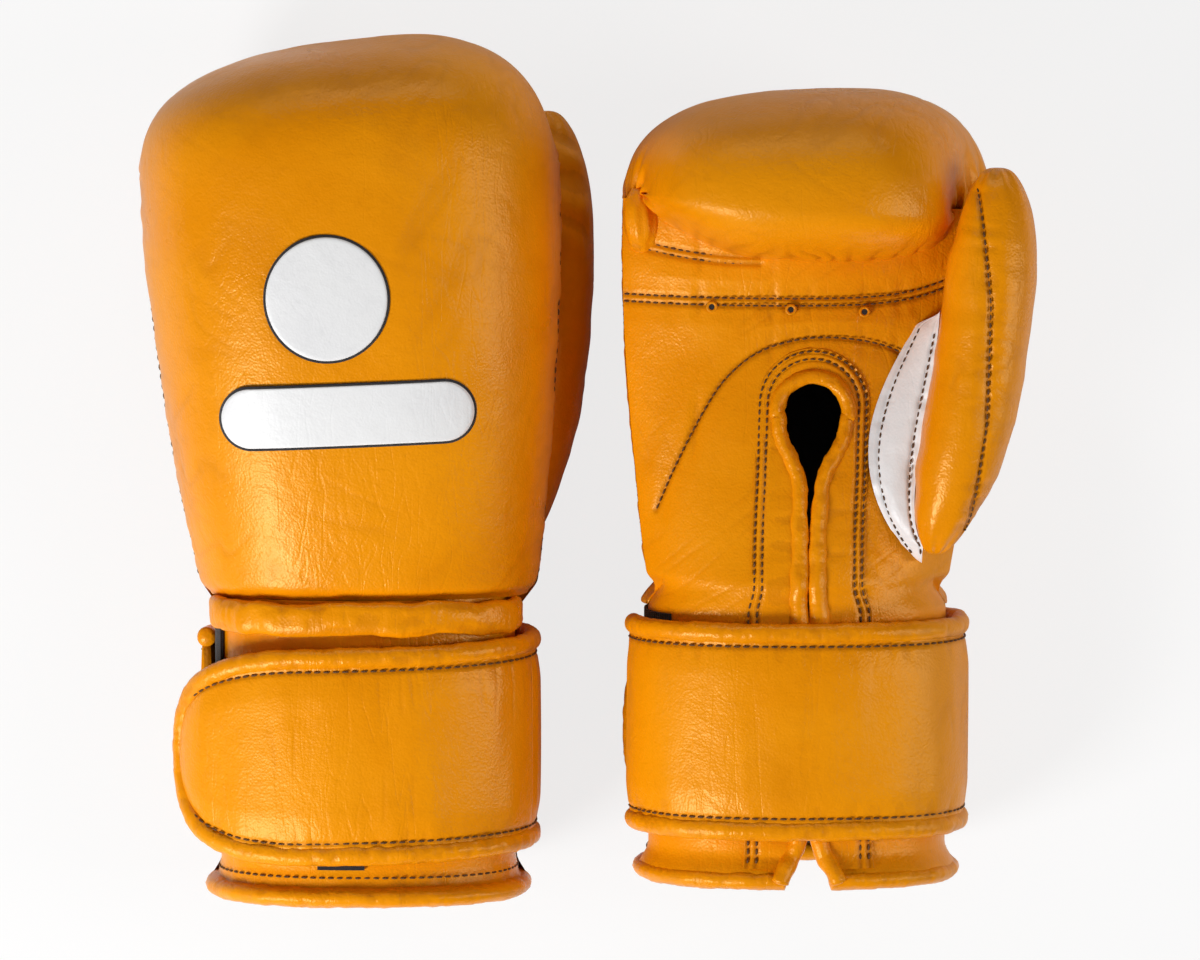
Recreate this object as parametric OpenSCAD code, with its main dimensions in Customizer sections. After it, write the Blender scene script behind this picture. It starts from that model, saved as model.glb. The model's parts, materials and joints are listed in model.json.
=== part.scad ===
// A pair of padded leather boxing gloves with hook-and-loop wrist straps.
// The left glove lies palm down and the right one palm up, side by side on one surface.
// Every module draws one piece in the glove's own frame: X runs to the thumb, Y from the cuff's hem
// to the knuckles and Z to the back of the hand. left() and right() then lay the glove down.

/* [Glove] */
// Length from the cuff's hem to the front of the knuckles
glove_len = 300; // [290:1:312]
// Width across the knuckles
hand_w = 149; // [145:1:154]
// Width at the wrist seam, where the hand shell starts
wrist_w = 120; // [117:1:124]
// Height of the padded back above the side seam, at the knuckles
back_h = 72; // [68:1:78]
// Drop of the side seam below the cuff's axis
seam_drop = 12; // [10:0.5:13]
// Sideways bend of the left glove's hand at its front, towards the little finger
left_lean = 8; // [0:0.5:9]
// Sideways bend of the right glove's hand at its front, towards the thumb
right_lean = 6; // [0:0.5:9]

// Length of the left glove's hand against the pattern's, 1 being the pattern's
left_reach = 1.02; // [1:0.01:1.03]
// Length of the right glove's hand, which is stuffed shorter
right_reach = 0.9; // [0.89:0.01:1]
// Width of the right glove's hand against the pattern's
right_spread = 0.89; // [0.88:0.01:1]

/* [Fist] */
// Depth of padding in front of the finger pivot
front_d = 46; // [43:1:50]
// Depth of the finger roll below the pivot
roll_d = 54; // [50:1:58]
// Reach of the finger roll behind the pivot
roll_back = 22; // [21:0.5:24]
// Width of the finger roll
roll_w = 122; // [118:1:125]
// Shift of the finger roll towards the little finger
roll_shift = 5.5; // [4:0.5:8]
// How far the first knuckle stands in front of the middle of the fist
knuckle_slant = 5.5; // [0:0.5:8]

/* [Hand hollow] */
// Width of the hollow for the hand
hollow_w = 94; // [86:1:96]
// Height of the hollow above the side seam
hollow_h = 27; // [23:0.5:29]
// Radius of the hollow round the finger pivot
finger_r = 15; // [13:0.5:16]
// Depth of the palm's bulge below the side seam, in mid palm
palm_belly = 14; // [12:0.5:16]
// Radius of the grip bar
grip_r = 4.5; // [3:0.5:5]

/* [Cuff] */
// Width of the cuff
cuff_w = 106; // [103:1:108]
// Thickness of the cuff, back to palm
cuff_t = 74; // [70:1:77]
// How far the cuff widens at its hem
hem_flare = 4; // [2:0.5:4]
// Length of the cuff from its hem to the wrist seam
cuff_len = 107; // [105:0.5:109]
// Thickness of the cuff's foam
cuff_foam_t = 5.5; // [4:0.5:7]
// Width of the rolled band at the wrist seam
band_w = 10.5; // [8:0.5:11]
// Thickness of the rolled band
band_t = 5.5; // [4:0.5:6]
// Radius of the hem's rolled edge
hem_r = 3.2; // [2.6:0.2:3.4]

/* [Palm opening] */
// Offset of the keyhole towards the thumb
key_x = 3; // [0:0.5:4]
// Distance of the keyhole's centre from the hem
key_y = 174; // [170:1:176]
// Radius of the keyhole
key_r = 11.5; // [10:0.5:12.5]
// Width of the slit below the keyhole
slit_w = 3; // [2:0.5:5]
// Widening of the slit at the hem
slit_flare = 6; // [3:0.5:7]
// Radius of the rolled binding
bind_r = 2.8; // [2.2:0.2:3]
// Half width of the reinforcement panel round the keyhole
key_panel_r = 22.6; // [21.5:0.5:25]
// Distance of the seam below the finger band from the line that the fist curls about
band_h = 35; // [32:1:40]
// Radius of the vent holes
vent_r = 1.4; // [1:0.1:1.8]

/* [Strap] */
// Width of the wrist strap over its rolled edges
strap_w = 76; // [72:1:76.5]
// Distance of the strap's lower edge from the hem
strap_y = 18; // [16:0.5:18.5]
// Thickness of the strap
strap_t = 4; // [3:0.5:5]
// Radius of the strap's rolled edge
edge_r = 3.2; // [2.6:0.2:3.4]
// How far the left strap's end stands out past the side of the cuff
left_overhang = 9; // [6:0.5:12]
// How far the right strap's end stands out, as it is pulled tighter
right_overhang = 2; // [1:0.5:12]
// How far the strap's end lies towards the hem, as it is pulled round at a slant
strap_slant = 4; // [0:0.5:9]
// Thickness of the hook patch, and of the loop panel
hook_t = 1.2; // [0.8:0.1:1.4]

/* [Thumb] */
// Distance of the thumb's lower end from the hem
thumb_y = 120; // [118:1:124]
// Length of the thumb
thumb_len = 152; // [148:1:155]
// Half width of the thumb
thumb_r = 17.8; // [17:0.2:18.6]
// How far the right glove's thumb stands out further than the left one's
right_thumb_out = 2; // [0:0.5:8]
// Drop of the thumb's axis below the cuff's axis
thumb_drop = 40; // [40:0.5:43]
// Radius of the hollow for the thumb
thumb_hollow_r = 9.5; // [8.5:0.5:10]

/* [Layers] */
// Thickness of the leather
leather_t = 2; // [1.5:0.1:2.2]
// Thickness of the lining
lining_t = 1; // [0.8:0.1:1.2]
// Thickness of the palm's thin padding
palm_pad_t = 2; // [1.5:0.1:2.2]
// Thickness of a sewn-on patch
patch_t = 0.8; // [0.6:0.1:1]
// Clearance between neighbouring layers
gap = 0.3; // [0.25:0.05:0.35]

/* [Patches] */
// Radius of the round patch on the back
disc_r = 21; // [18:0.5:23]
// Length of the bar patch on the back
bar_len = 88; // [80:1:94]
// Height of the bar patch
bar_h = 20.5; // [18:0.5:23]

/* [Pair] */
// Distance between the two cuffs' axes
pair_pitch = 153; // [153:1:180]
// How far the right glove lies in front of the left one
pair_shift = 6; // [0:1:12]

/* [Hidden] */

AMBER = [0.85, 0.52, 0.02];
WHITE = [0.93, 0.93, 0.92];
BLACK = [0.07, 0.07, 0.08];
FOAM = [0.80, 0.79, 0.74];

// Places that the driving sizes fix
wrist_y = cuff_len;
pivot_y = glove_len - front_d;
band_seam_y = pivot_y - band_h;
seam_z = -seam_drop;
thumb_root_x = hand_w / 2 - 21.5;
cuff_a = cuff_w / 2;
cuff_b = cuff_t / 2;
// Shape exponents of the rounded sections
CUFF_N = 2.4;
BACK_N = 2.8;
PALM_N = 2.6;
// Where the curl of the fist ends, in degrees round the pivot, with 90 at the back of the hand
CURL_END = -148;
LINING_END = -63;
// Smallest distance that the sides of the curl keep from the pivot line
POLE_R = 1.5;
// Grid of the large skins: steps along the hand, degrees for each step of the curl, and steps across
HAND_STEPS = 6;
CURL_STEP = 17;
ACROSS = 16;

function mix(a, b, t) = a + (b - a) * t;
function clamp01(t) = max(0, min(1, t));
function smooth(t) = let (c = clamp01(t)) c * c * (3 - 2 * c);
function spow(v, e) = sign(v) * pow(abs(v), e);
// Radius of a superellipse with half axes a and b in the direction ang
function quad_r(a, b, n, ang) = pow(pow(abs(cos(ang)) / a, n) + pow(abs(sin(ang)) / b, n), -1 / n);
// Point of the cuff's section, pushed out by d, in the direction ang
function cuff_pt(d, ang) = [
    (cuff_a + d) * spow(cos(ang), 2 / CUFF_N),
    (cuff_b + d) * spow(sin(ang), 2 / CUFF_N)
];

// ---- The hand's form -------------------------------------------------------------------------

function along(y) = clamp01((y - wrist_y) / (pivot_y - wrist_y));
function half_w(y) = mix(wrist_w, hand_w, sin(90 * along(y))) / 2;
function rise(y) = mix(cuff_b + 1 + seam_drop, back_h, pow(sin(90 * along(y)), 0.9));
// Radius of the curl's outline, seen from the side
function curl_r(ang) =
    ang >= 0 ? quad_r(front_d, back_h, 2.8, ang)
    : ang >= -90 ? quad_r(front_d, roll_d, 2.2, ang)
    : quad_r(roll_back, roll_d, 2, ang);
function curl_share(ang) = (1 - sin(max(ang, -90))) / 2;
function hollow_r(ang) =
    ang > -90 ? mix(hollow_h, finger_r, smooth((90 - ang) / 90))
    : mix(finger_r, finger_r + 3, clamp01((-90 - ang) / 58));

// A station is [y of its centre, its direction, half width to the little finger, to the thumb, height]
function hand_station(y) = [y, 90, half_w(y), half_w(y), rise(y)];
function curl_station(ang) = [
    pivot_y, ang,
    mix(hand_w / 2, roll_w / 2 + roll_shift, curl_share(ang)),
    mix(hand_w / 2, roll_w / 2 - roll_shift, curl_share(ang)),
    curl_r(ang)
];
function hollow_hand_station(y) = [y, 90, hollow_w / 2, hollow_w / 2, hollow_h];
function hollow_curl_station(ang) = [
    pivot_y, ang,
    hollow_w / 2 - 4 * curl_share(ang),
    hollow_w / 2 - 8 * curl_share(ang), hollow_r(ang)
];

// Length, width and sideways bend of a glove's hand, where side is -1 for the left glove and 1 for
// the right
function lean(p, side) =
    let (
        y = p[1] + max(0, p[1] - wrist_y) * ((side < 0 ? left_reach : right_reach) - 1),
        x = p[0] * mix(1, side < 0 ? 1 : right_spread, smooth((y - wrist_y + band_w) / band_w)),
        t = smooth((y - wrist_y) / 40),
        rate = (side < 0 ? -left_lean : right_lean) / (glove_len - wrist_y)
    )
    [x + rate * max(0, y - wrist_y) * t, y - rate * x * t, p[2]];

// Row of points across the hand at a station, d inside its outline
function across_row(st, d, side) = [
    for (i = [0:ACROSS])
    let (
        v = 180 * i / ACROSS,
        c = cos(v),
        x = (c >= 0 ? st[3] - d : st[2] - d) * spow(c, 2 / BACK_N),
        low = POLE_R * smooth((90 - st[1]) / 40),
        r = low + (st[4] - d - low) * pow(abs(sin(v)), 2 / BACK_N),
        ahead = knuckle_slant * 2 * x / hand_w * max(0, cos(st[1])) * r / front_d
    )
    lean([x, st[0] + r * cos(st[1]) + ahead, seam_z + r * sin(st[1])], side)
];
function hand_ys(y0) = [for (i = [0:HAND_STEPS]) mix(y0, pivot_y, i / HAND_STEPS)];
function curl_angs(last) = [for (a = [90 - CURL_STEP:-CURL_STEP:last]) a];
function skin_grid(y0, last, d, side) = concat(
    [for (y = hand_ys(y0)) across_row(hand_station(y), d, side)],
    [for (a = curl_angs(last)) across_row(curl_station(a), d, side)]
);
function hollow_grid(y0, last, d, side) = concat(
    [for (y = hand_ys(y0)) across_row(hollow_hand_station(y), -d, side)],
    [for (a = curl_angs(last)) across_row(hollow_curl_station(a), -d, side)]
);

// Height of the palm's outer surface: it bulges below the side seam and runs down to the cuff
function belly(y) = mix(cuff_b + 1 - seam_drop, palm_belly, sin(90 * min(1, 1.6 * along(y))));
function palm_z(x, y) = seam_z - gap - belly(y) * (1 - pow(min(1, abs(x) / half_w(y)), PALM_N));
function cuff_low_z(x) = -cuff_b * pow(1 - pow(min(1, abs(x) / cuff_a), CUFF_N), 1 / CUFF_N);
// Underside of the cuff and palm as one surface
function under_z(x, y) = mix(cuff_low_z(x), palm_z(x, y), smooth((y - wrist_y + 8) / 12));
function back_z(x, y) =
    seam_z + rise(y) * pow(1 - pow(min(1, abs(x) / half_w(y)), BACK_N), 1 / BACK_N);

// ---- Ways to make a solid from rows of points ------------------------------------------------

// Closed slab between two grids of points with the same rows and columns
module slab(top, bottom) {
    rows = len(top);
    cols = len(top[0]);
    n = rows * cols;
    points = concat([for (r = top) each r], [for (r = bottom) each r]);
    faces = concat(
        [for (i = [0:rows - 2]) for (j = [0:cols - 2])
            let (a = i * cols + j, b = a + cols)
            each [[a, a + 1, b + 1], [a, b + 1, b], [n + a, n + b + 1, n + a + 1], [n + a, n + b, n + b + 1]]],
        [for (j = [0:cols - 2]) let (b = (rows - 1) * cols + j)
            each [[j, n + j, n + j + 1], [j, n + j + 1, j + 1], [b, b + 1, n + b + 1], [b, n + b + 1, n + b]]],
        [for (i = [0:rows - 2]) let (a = i * cols, b = a + cols - 1)
            each [[a, a + cols, n + a + cols], [a, n + a + cols, n + a],
                  [b, n + b, n + b + cols], [b, n + b + cols, b + cols]]]
    );
    polyhedron(points, faces);
}

// Closed tube through rings of points, with flat ends
module loft(rings) {
    cols = len(rings[0]);
    last = (len(rings) - 1) * cols;
    points = [for (r = rings) each r];
    faces = concat(
        [for (i = [0:len(rings) - 2]) for (j = [0:cols - 1])
            let (a = i * cols + j, b = i * cols + (j + 1) % cols)
            each [[a, b, b + cols], [a, b + cols, a + cols]]],
        [[for (j = [cols - 1:-1:0]) j], [for (j = [0:cols - 1]) last + j]]
    );
    polyhedron(points, faces);
}

function unit(v) = v / norm(v);
// Rings of a round tube along a path. up is a direction that the path never follows
function tube_rings(path, r, up, sides) = [
    for (i = [0:len(path) - 1])
    let (
        dir = unit(path[min(i + 1, len(path) - 1)] - path[max(i - 1, 0)]),
        across = unit(cross(dir, up)),
        over = cross(across, dir)
    )
    [for (j = [0:sides - 1]) let (q = 360 * j / sides) path[i] + r * (cos(q) * across + sin(q) * over)]
];

// Sheet over the palm side of a region, between two depths inside the underside surface. xs gives
// the places across at a y, from the thumb to the little finger
module palm_sheet(ys, xs, d0, d1, side) {
    function row(y, d) = [
        for (x = xs(y)) lean([x, y, min(under_z(x, y) + d, seam_z - gap)], side)
    ];
    slab([for (y = ys) row(y, d1)], [for (y = ys) row(y, d0)]);
}
// Places across the palm's inner layers, and across its outer layer up to the side seams
inner_half = hollow_w / 2 - 1;
inner_xs = [for (j = [0:10]) mix(inner_half, -inner_half, j / 10)];
function wide_xs(y) =
    let (edge = half_w(y) - 0.6, mid = mix(inner_half, edge, 0.55))
    concat([edge, mid], inner_xs, [-mid, -edge]);

// How far the layers stay back from the keyhole's edge, to leave room for its rolled binding
bind_cut = 2 * bind_r + 3 * gap;
// Outline of the keyhole and its slit, grown by d
function slit_half(y) = slit_w / 2 + slit_flare * (1 - smooth(y / 18));
function neck_half(y, d) =
    let (low = key_y - 2.6 * key_r, t = smooth((y - low) / (key_y - 0.35 * key_r - low)))
    mix(slit_half(y) + d, (key_r + d) * 0.94, t);
function keyhole_side(d, y0) = concat(
    [for (y = [y0, 3, 6, 10, 14, 18, 95, 104, 112, 130]) if (y >= y0) [neck_half(y, d), y]],
    [for (i = [0:5]) let (y = mix(key_y - 2.6 * key_r, key_y - 0.35 * key_r, i / 5)) [neck_half(y, d), y]],
    [for (q = [-5:23.75:90]) [(key_r + d) * cos(q), key_y + (key_r + d) * sin(q)]]
);
function keyhole_outline(d, y0, side) =
    let (half = keyhole_side(d, y0), n = len(half))
    concat(
        [for (p = half) [key_x + p[0], p[1]]],
        [for (i = [n - 1:-1:0]) [key_x - half[i][0], half[i][1]]]
    );
// side 0 leaves the points as they are
function leaned(points, side) = side == 0 ? points : [for (p = points) let (q = lean([p[0], p[1], 0], side)) [q[0], q[1]]];
// The cut that the keyhole and slit make through a palm layer
module keyhole_cut(d, side) {
    translate([0, 0, -cuff_b - 20])
    linear_extrude(cuff_b + 20)
    polygon(leaned(keyhole_outline(d, -5, side), side));
}

// ---- Hand pieces -----------------------------------------------------------------------------

module main_shell(side) {
    color(AMBER)
    slab(skin_grid(wrist_y + gap, CURL_END, 0, side), skin_grid(wrist_y + gap, CURL_END, leather_t, side));
}

foam_d = leather_t + gap;
module knuckle_foam(side) {
    color(FOAM)
    slab(
        skin_grid(wrist_y + gap, CURL_END, foam_d, side),
        hollow_grid(wrist_y + gap, CURL_END, lining_t + gap, side)
    );
}

module back_lining(side) {
    color(BLACK)
    slab(
        hollow_grid(wrist_y + gap, LINING_END, lining_t, side),
        hollow_grid(wrist_y + gap, LINING_END, 0, side)
    );
}

palm_top = band_seam_y - gap;
palm_front = pivot_y - roll_back - gap;
palm_wall = leather_t + gap + palm_pad_t + gap;
function palm_ys(y1) = [for (i = [0:9]) mix(wrist_y + gap, y1, i / 9)];
// The way from the hand's hollow into the thumb's
passage_y = thumb_y + 34;
passage_x = thumb_root_x - 7.5;
module thumb_passage(side, r) {
    at = lean([passage_x, passage_y, 0], side);
    translate([at[0], at[1], -thumb_drop])
    linear_extrude(thumb_drop)
    circle(r, $fn = 20);
}

module palm_panel(side) {
    color(AMBER)
    difference() {
        palm_sheet(palm_ys(palm_top), function(y) wide_xs(y), 0, leather_t, side);
        keyhole_cut(bind_cut, side);
        thumb_passage(side, thumb_hollow_r + gap);
        for (x = [-38, -7, 22]) vent(x, side);
    }
}
vent_y = band_seam_y - 5;
module vent(x, side) {
    at = lean([x, vent_y, 0], side);
    translate([at[0], at[1], -cuff_b - 10])
    cylinder(h = cuff_b, r = vent_r, $fn = 16);
}

module palm_pad(side) {
    color(FOAM)
    difference() {
        palm_sheet(
            palm_ys(palm_top), function(y) inner_xs,
            leather_t + gap, leather_t + gap + palm_pad_t, side
        );
        keyhole_cut(bind_cut, side);
        thumb_passage(side, thumb_hollow_r + gap);
    }
}

module palm_lining(side) {
    color(BLACK)
    difference() {
        palm_sheet(
            palm_ys(palm_front), function(y) inner_xs, palm_wall, palm_wall + lining_t, side
        );
        keyhole_cut(bind_cut, side);
        thumb_passage(side, thumb_hollow_r + gap);
    }
}

// Leaves out the two outer places by the thumb, past the end of the roll
module finger_band(side) {
    color(AMBER)
    palm_sheet(
        [for (i = [0:3]) mix(band_seam_y, palm_front, i / 3)],
        function(y) let (all = wide_xs(y)) [for (i = [2:len(all) - 1]) all[i]],
        -0.4, leather_t + gap + palm_pad_t, side
    );
}

grip_half = 36;
module grip_bar(side) {
    path = [
        for (i = [0:8])
        let (x = mix(-grip_half, grip_half, i / 8), y = palm_front - grip_r - 3)
        lean([x, y, under_z(x, y) + palm_wall + lining_t + gap + grip_r], side)
    ];
    color(FOAM)
    loft(tube_rings(path, grip_r, [0, 0, 1], 10));
}

module keyhole_panel(side) {
    top_y = key_y + 3;
    color(AMBER)
    difference() {
        intersection() {
            palm_sheet(
                [for (i = [0:7]) mix(wrist_y + 5, top_y + key_panel_r, i / 7)],
                function(y) [for (j = [0:6]) key_x + key_panel_r * (1 - j / 3)],
                -patch_t - 1.3 * gap, -1.3 * gap, side
            );
            translate([0, 0, -cuff_b - 20])
            linear_extrude(cuff_b + 20)
            polygon(leaned(concat(
                [[key_x - key_panel_r, wrist_y], [key_x + key_panel_r, wrist_y]],
                [for (q = [0:15:180]) [key_x + key_panel_r * cos(q), top_y + key_panel_r * sin(q)]]
            ), side));
        }
        keyhole_cut(bind_cut, side);
    }
}

module keyhole_binding(side) {
    low = 2 * hem_r + gap;
    half = keyhole_side(bind_r, low + bind_r);
    n = len(half);
    flat = concat(
        [for (p = half) [key_x + p[0], p[1]]],
        [for (i = [n - 2:-1:0]) [key_x - half[i][0], half[i][1]]]
    );
    path = [for (p = flat) lean([p[0], p[1], under_z(p[0], p[1]) + bind_r], side)];
    color(AMBER)
    loft(tube_rings(path, bind_r, [0, 0, 1], 8));
}

// ---- Thumb -----------------------------------------------------------------------------------

// The thumb's axis and half width at u, from its lower end at 0 to its tip at 1
thumb_sweep = 16.5;
thumb_slope = 5;
// Each glove sets how far its own thumb stands out
$thumb_out = 0;
function thumb_axis(u) = [
    thumb_root_x + thumb_sweep * sin(95 * u) + $thumb_out * smooth(u / 0.5),
    thumb_y + thumb_len * u,
    -thumb_drop - thumb_slope * (u - 0.5)
];
function thumb_half(u) = thumb_r * sqrt(max(0.004, 1 - pow(abs(2 * pow(u, thumb_skew) - 1), 3)));
// How far the widest place lies towards the tip, 1 being the middle
thumb_skew = 1.08;
thumb_depth = 1.1;
function thumb_ring(u, d, sides, side) =
    let (c = thumb_axis(u), r = thumb_half(u) - d)
    [for (j = [0:sides - 1]) let (q = 360 * j / sides)
        lean(c + [r * spow(cos(q), 0.9), 0, thumb_depth * r * spow(sin(q), 0.9)], side)];
THUMB_STEPS = 14;
THUMB_SIDES = 16;
function thumb_us(u0, u1) = [for (i = [0:THUMB_STEPS]) mix(u0, u1, (1 - cos(180 * i / THUMB_STEPS)) / 2)];

module thumb_shell(side) {
    color(AMBER)
    difference() {
        loft([for (u = thumb_us(0.002, 0.998)) thumb_ring(u, 0, THUMB_SIDES, side)]);
        loft([for (u = thumb_us(0.02, 0.985)) thumb_ring(u, leather_t, THUMB_SIDES, side)]);
        thumb_passage(side, thumb_hollow_r);
    }
}

pocket_u0 = 0.19;
pocket_u1 = 0.80;
module thumb_foam(side) {
    pocket = [
        for (u = [pocket_u0, 0.2, 0.35, 0.5, 0.65, pocket_u1])
        [for (j = [0:11]) let (q = 30 * j) lean(
            thumb_axis(u) + thumb_hollow_r * (u > 0.7 ? 0.75 : 1) * [cos(q), 0, sin(q)], side)]
    ];
    color(FOAM)
    difference() {
        loft([for (u = thumb_us(0.03, 0.98)) thumb_ring(u, leather_t + gap, THUMB_SIDES, side)]);
        loft(pocket);
        thumb_passage(side, thumb_hollow_r);
    }
}

// Clearance from the thumb, which can flex away from the palm
run_gap = 0.5;
// White strip that closes the gap between the palm and the thumb
gusset_y0 = wrist_y + 9;
gusset_y1 = band_seam_y - 3;
function gusset_in_x(y) = let (t = (y - gusset_y0) / (gusset_y1 - gusset_y0))
    thumb_root_x - 6 - 20 * sin(180 * pow(t, 0.85));
module thumb_gusset(side) {
    ys = [for (i = [0:10]) mix(gusset_y0, gusset_y1, i / 10)];
    function out_pt(y) =
        let (u = (y - thumb_y) / thumb_len, c = thumb_axis(max(0.02, u)))
        [c[0] - thumb_half(max(0.02, u)) - run_gap, y, c[2] + 5];
    function in_pt(y) = let (x = gusset_in_x(y)) [x, y, under_z(x, y) - gap];
    function row(y, d) = [for (j = [0:3])
        let (p = mix(out_pt(y), in_pt(y), j / 3)) lean(p + [0, 0, d], side)];
    color(WHITE)
    slab([for (y = ys) row(y, 0)], [for (y = ys) row(y, -1.2)]);
}

// Short tab that ties the thumb to the side of the fist
module thumb_lock(side) {
    long_r = 8;
    short_r = 3.5;
    at = [thumb_axis(0.75)[0] + 1, pivot_y - 18, 0];
    u = (at[1] - long_r - thumb_y) / thumb_len;
    low = thumb_axis(u)[2] + thumb_depth * thumb_half(u) + gap;
    high = seam_z - gap;
    color(AMBER)
    loft([for (z = [low, mix(low, high, 0.5), high])
        let (r = z == low || z == high ? 1 : 0.86)
        [for (j = [0:15]) let (q = -22.5 * j)
            lean([at[0] + short_r * r * cos(q), at[1] + long_r * r * sin(q), z], side)]]);
}

// ---- Cuff ------------------------------------------------------------------------------------

CUFF_SIDES = 52;
function oval_ring(d, y) = [
    for (i = [0:CUFF_SIDES - 1])
    let (p = cuff_pt(d + flare(y), 360 * (i + 0.5) / CUFF_SIDES))
    [p[0], y, p[1]]
];
// Tube with rings at the stations ys, in rising order
module oval_tube(outer, inner, ys) {
    difference() {
        loft([for (y = ys) oval_ring(outer, y)]);
        loft([for (y = [ys[0] - 1, each ys, ys[len(ys) - 1] + 1]) oval_ring(inner, y)]);
    }
}

hem_top = 2 * hem_r + gap;
// The flare fades out above the hem, clear of the strap
flare_top = hem_top + 6;
function flare(y) = hem_flare * (1 - smooth((y - hem_r) / (flare_top - hem_r)));
module cuff_shell() {
    color(AMBER)
    difference() {
        oval_tube(0, -leather_t, [flare_top, wrist_y]);
        keyhole_cut(bind_cut, 0);
    }
}

module cuff_foam() {
    color(FOAM)
    difference() {
        oval_tube(-foam_d, -foam_d - cuff_foam_t, [hem_top, flare_top, wrist_y]);
        keyhole_cut(bind_cut, 0);
    }
}

cuff_wall = foam_d + cuff_foam_t + gap + lining_t;
module cuff_lining() {
    color(BLACK)
    difference() {
        oval_tube(-cuff_wall + lining_t, -cuff_wall, [hem_top, flare_top, wrist_y]);
        keyhole_cut(bind_cut, 0);
    }
}

// Angle of the cuff's section whose underside point lies at x
function low_angle(x) = -acos(spow(x / cuff_a, CUFF_N / 2));
// The piped edge, and the flared facing between it and the cuff
module cuff_hem() {
    mid = -cuff_wall / 2;
    cut = slit_half(hem_r) + 0.4 * hem_r;
    a0 = low_angle(key_x + cut);
    a1 = 360 + low_angle(key_x - cut);
    steps = 36;
    path = [
        for (i = [0:steps])
        let (p = cuff_pt(mid + flare(hem_r), mix(a0, a1, i / steps)))
        [p[0], hem_r, p[1]]
    ];
    color(AMBER)
    loft(tube_rings(path, hem_r, [0, 1, 0], 8));
    color(AMBER)
    difference() {
        oval_tube(0, -leather_t, [hem_top, flare_top - gap]);
        keyhole_cut(bind_cut, 0);
    }
}

// Arc of a band round the cuff: angles a0 to a1, from d0 to d1 outside the cuff, y0(a) to y1(a)
module arc_band(a0, a1, steps, d0, d1, y0, y1) {
    loft([
        for (i = [0:steps])
        let (a = mix(a0, a1, i / steps), p = cuff_pt(d0, a), q = cuff_pt(d1, a))
        [[p[0], y0(a), p[1]], [p[0], y1(a), p[1]], [q[0], y1(a), q[1]], [q[0], y0(a), q[1]]]
    ]);
}

module wrist_band() {
    y0 = wrist_y - band_w;
    color(AMBER)
    arc_band(-4, 184, 20, gap, gap + band_t, function(a) y0, function(a) wrist_y);
}

// ---- Strap -----------------------------------------------------------------------------------

strap_y1 = strap_y + strap_w;
strap_mid_y = strap_y + strap_w / 2;
strap_d = gap + 2 * hook_t + 2 * gap;
strap_mid_d = strap_d + strap_t / 2;
hinge_angle = 0;
curl_angle = 69;
end_angle = 166;
round_angle = 108;
pinky_angle = 184;

// Distance of the strap's middle from the hem at an angle
function strap_my(a) =
    strap_mid_y - (a > 0 && a < 180 ? strap_slant * smooth(a / end_angle) : 0);
// Middle line of the strap at an angle: the end stands out past the side of the cuff
function strap_pt(a, d) =
    let (over = a > 90 && a < 180 ? $overhang * smooth((a - 90) / 60) : 0)
    [
        (cuff_a + over + strap_mid_d + d) * spow(cos(a), 2 / CUFF_N),
        (cuff_b + strap_mid_d + d) * spow(sin(a), 2 / CUFF_N)
    ];
function strap_normal(a) =
    let (t = unit(strap_pt(a + 0.5, 0) - strap_pt(a - 0.5, 0))) [t[1], -t[0]];
// Share of the strap's half width that is left at an angle, where the end is rounded off
function end_share(a, last) = sqrt(max(0.0015, 1 - pow(clamp01((a - round_angle) / (last - round_angle)), 2)));
sheet_half = strap_w / 2 - 2 * edge_r - gap;
edge_half = strap_w / 2 - edge_r;

function sheet_ring(p, n, mid, half, thick) = [
    [p[0] - n[0] * thick, mid - half, p[1] - n[1] * thick],
    [p[0] - n[0] * thick, mid + half, p[1] - n[1] * thick],
    [p[0] + n[0] * thick, mid + half, p[1] + n[1] * thick],
    [p[0] + n[0] * thick, mid - half, p[1] + n[1] * thick]
];
// Rings of a strap run between two angles. round_in adds a half-round start about its hinge line
module strap_run(a0, a1, steps, last, round_in) {
    t = strap_t / 2;
    p0 = strap_pt(a0, 0);
    n0 = strap_normal(a0);
    back = unit(strap_pt(a0 - 0.5, 0) - strap_pt(a0 + 0.5, 0));
    start = !round_in ? [] : [
        for (q = [6, 30, 60])
        sheet_ring(p0 + back * t * cos(q), n0, strap_my(a0), sheet_half * end_share(a0, last), t * sin(q))
    ];
    loft(concat(start, [
        for (i = [0:steps])
        let (a = mix(a0, a1, i / steps))
        sheet_ring(strap_pt(a, 0), strap_normal(a), strap_my(a), sheet_half * end_share(a, last), t)
    ]));
}
function edge_path(a0, a1, steps, s) = [
    for (i = [0:steps])
    let (a = mix(a0, a1, i / steps), p = strap_pt(a, 0))
    [p[0], strap_my(a) + s * edge_half, p[1]]
];
module edging(a0, a1, steps, round_in) {
    for (s = [-1, 1]) {
        path = edge_path(a0, a1, steps, s);
        rings = tube_rings(path, edge_r, [0, 1, 0], 8);
        loft(rings);
        if (round_in) translate(path[0]) sphere(edge_r * 0.98, $fn = 16);
    }
}

// Clearance of the run before a hinge line, along the strap
hinge_gap_sheet = strap_t / 2 + 0.9;
hinge_gap_edge = edge_r + 0.9;
function angle_back(a, dist) = a - dist / norm(strap_pt(a - 0.5, 0) - strap_pt(a + 0.5, 0));

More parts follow.
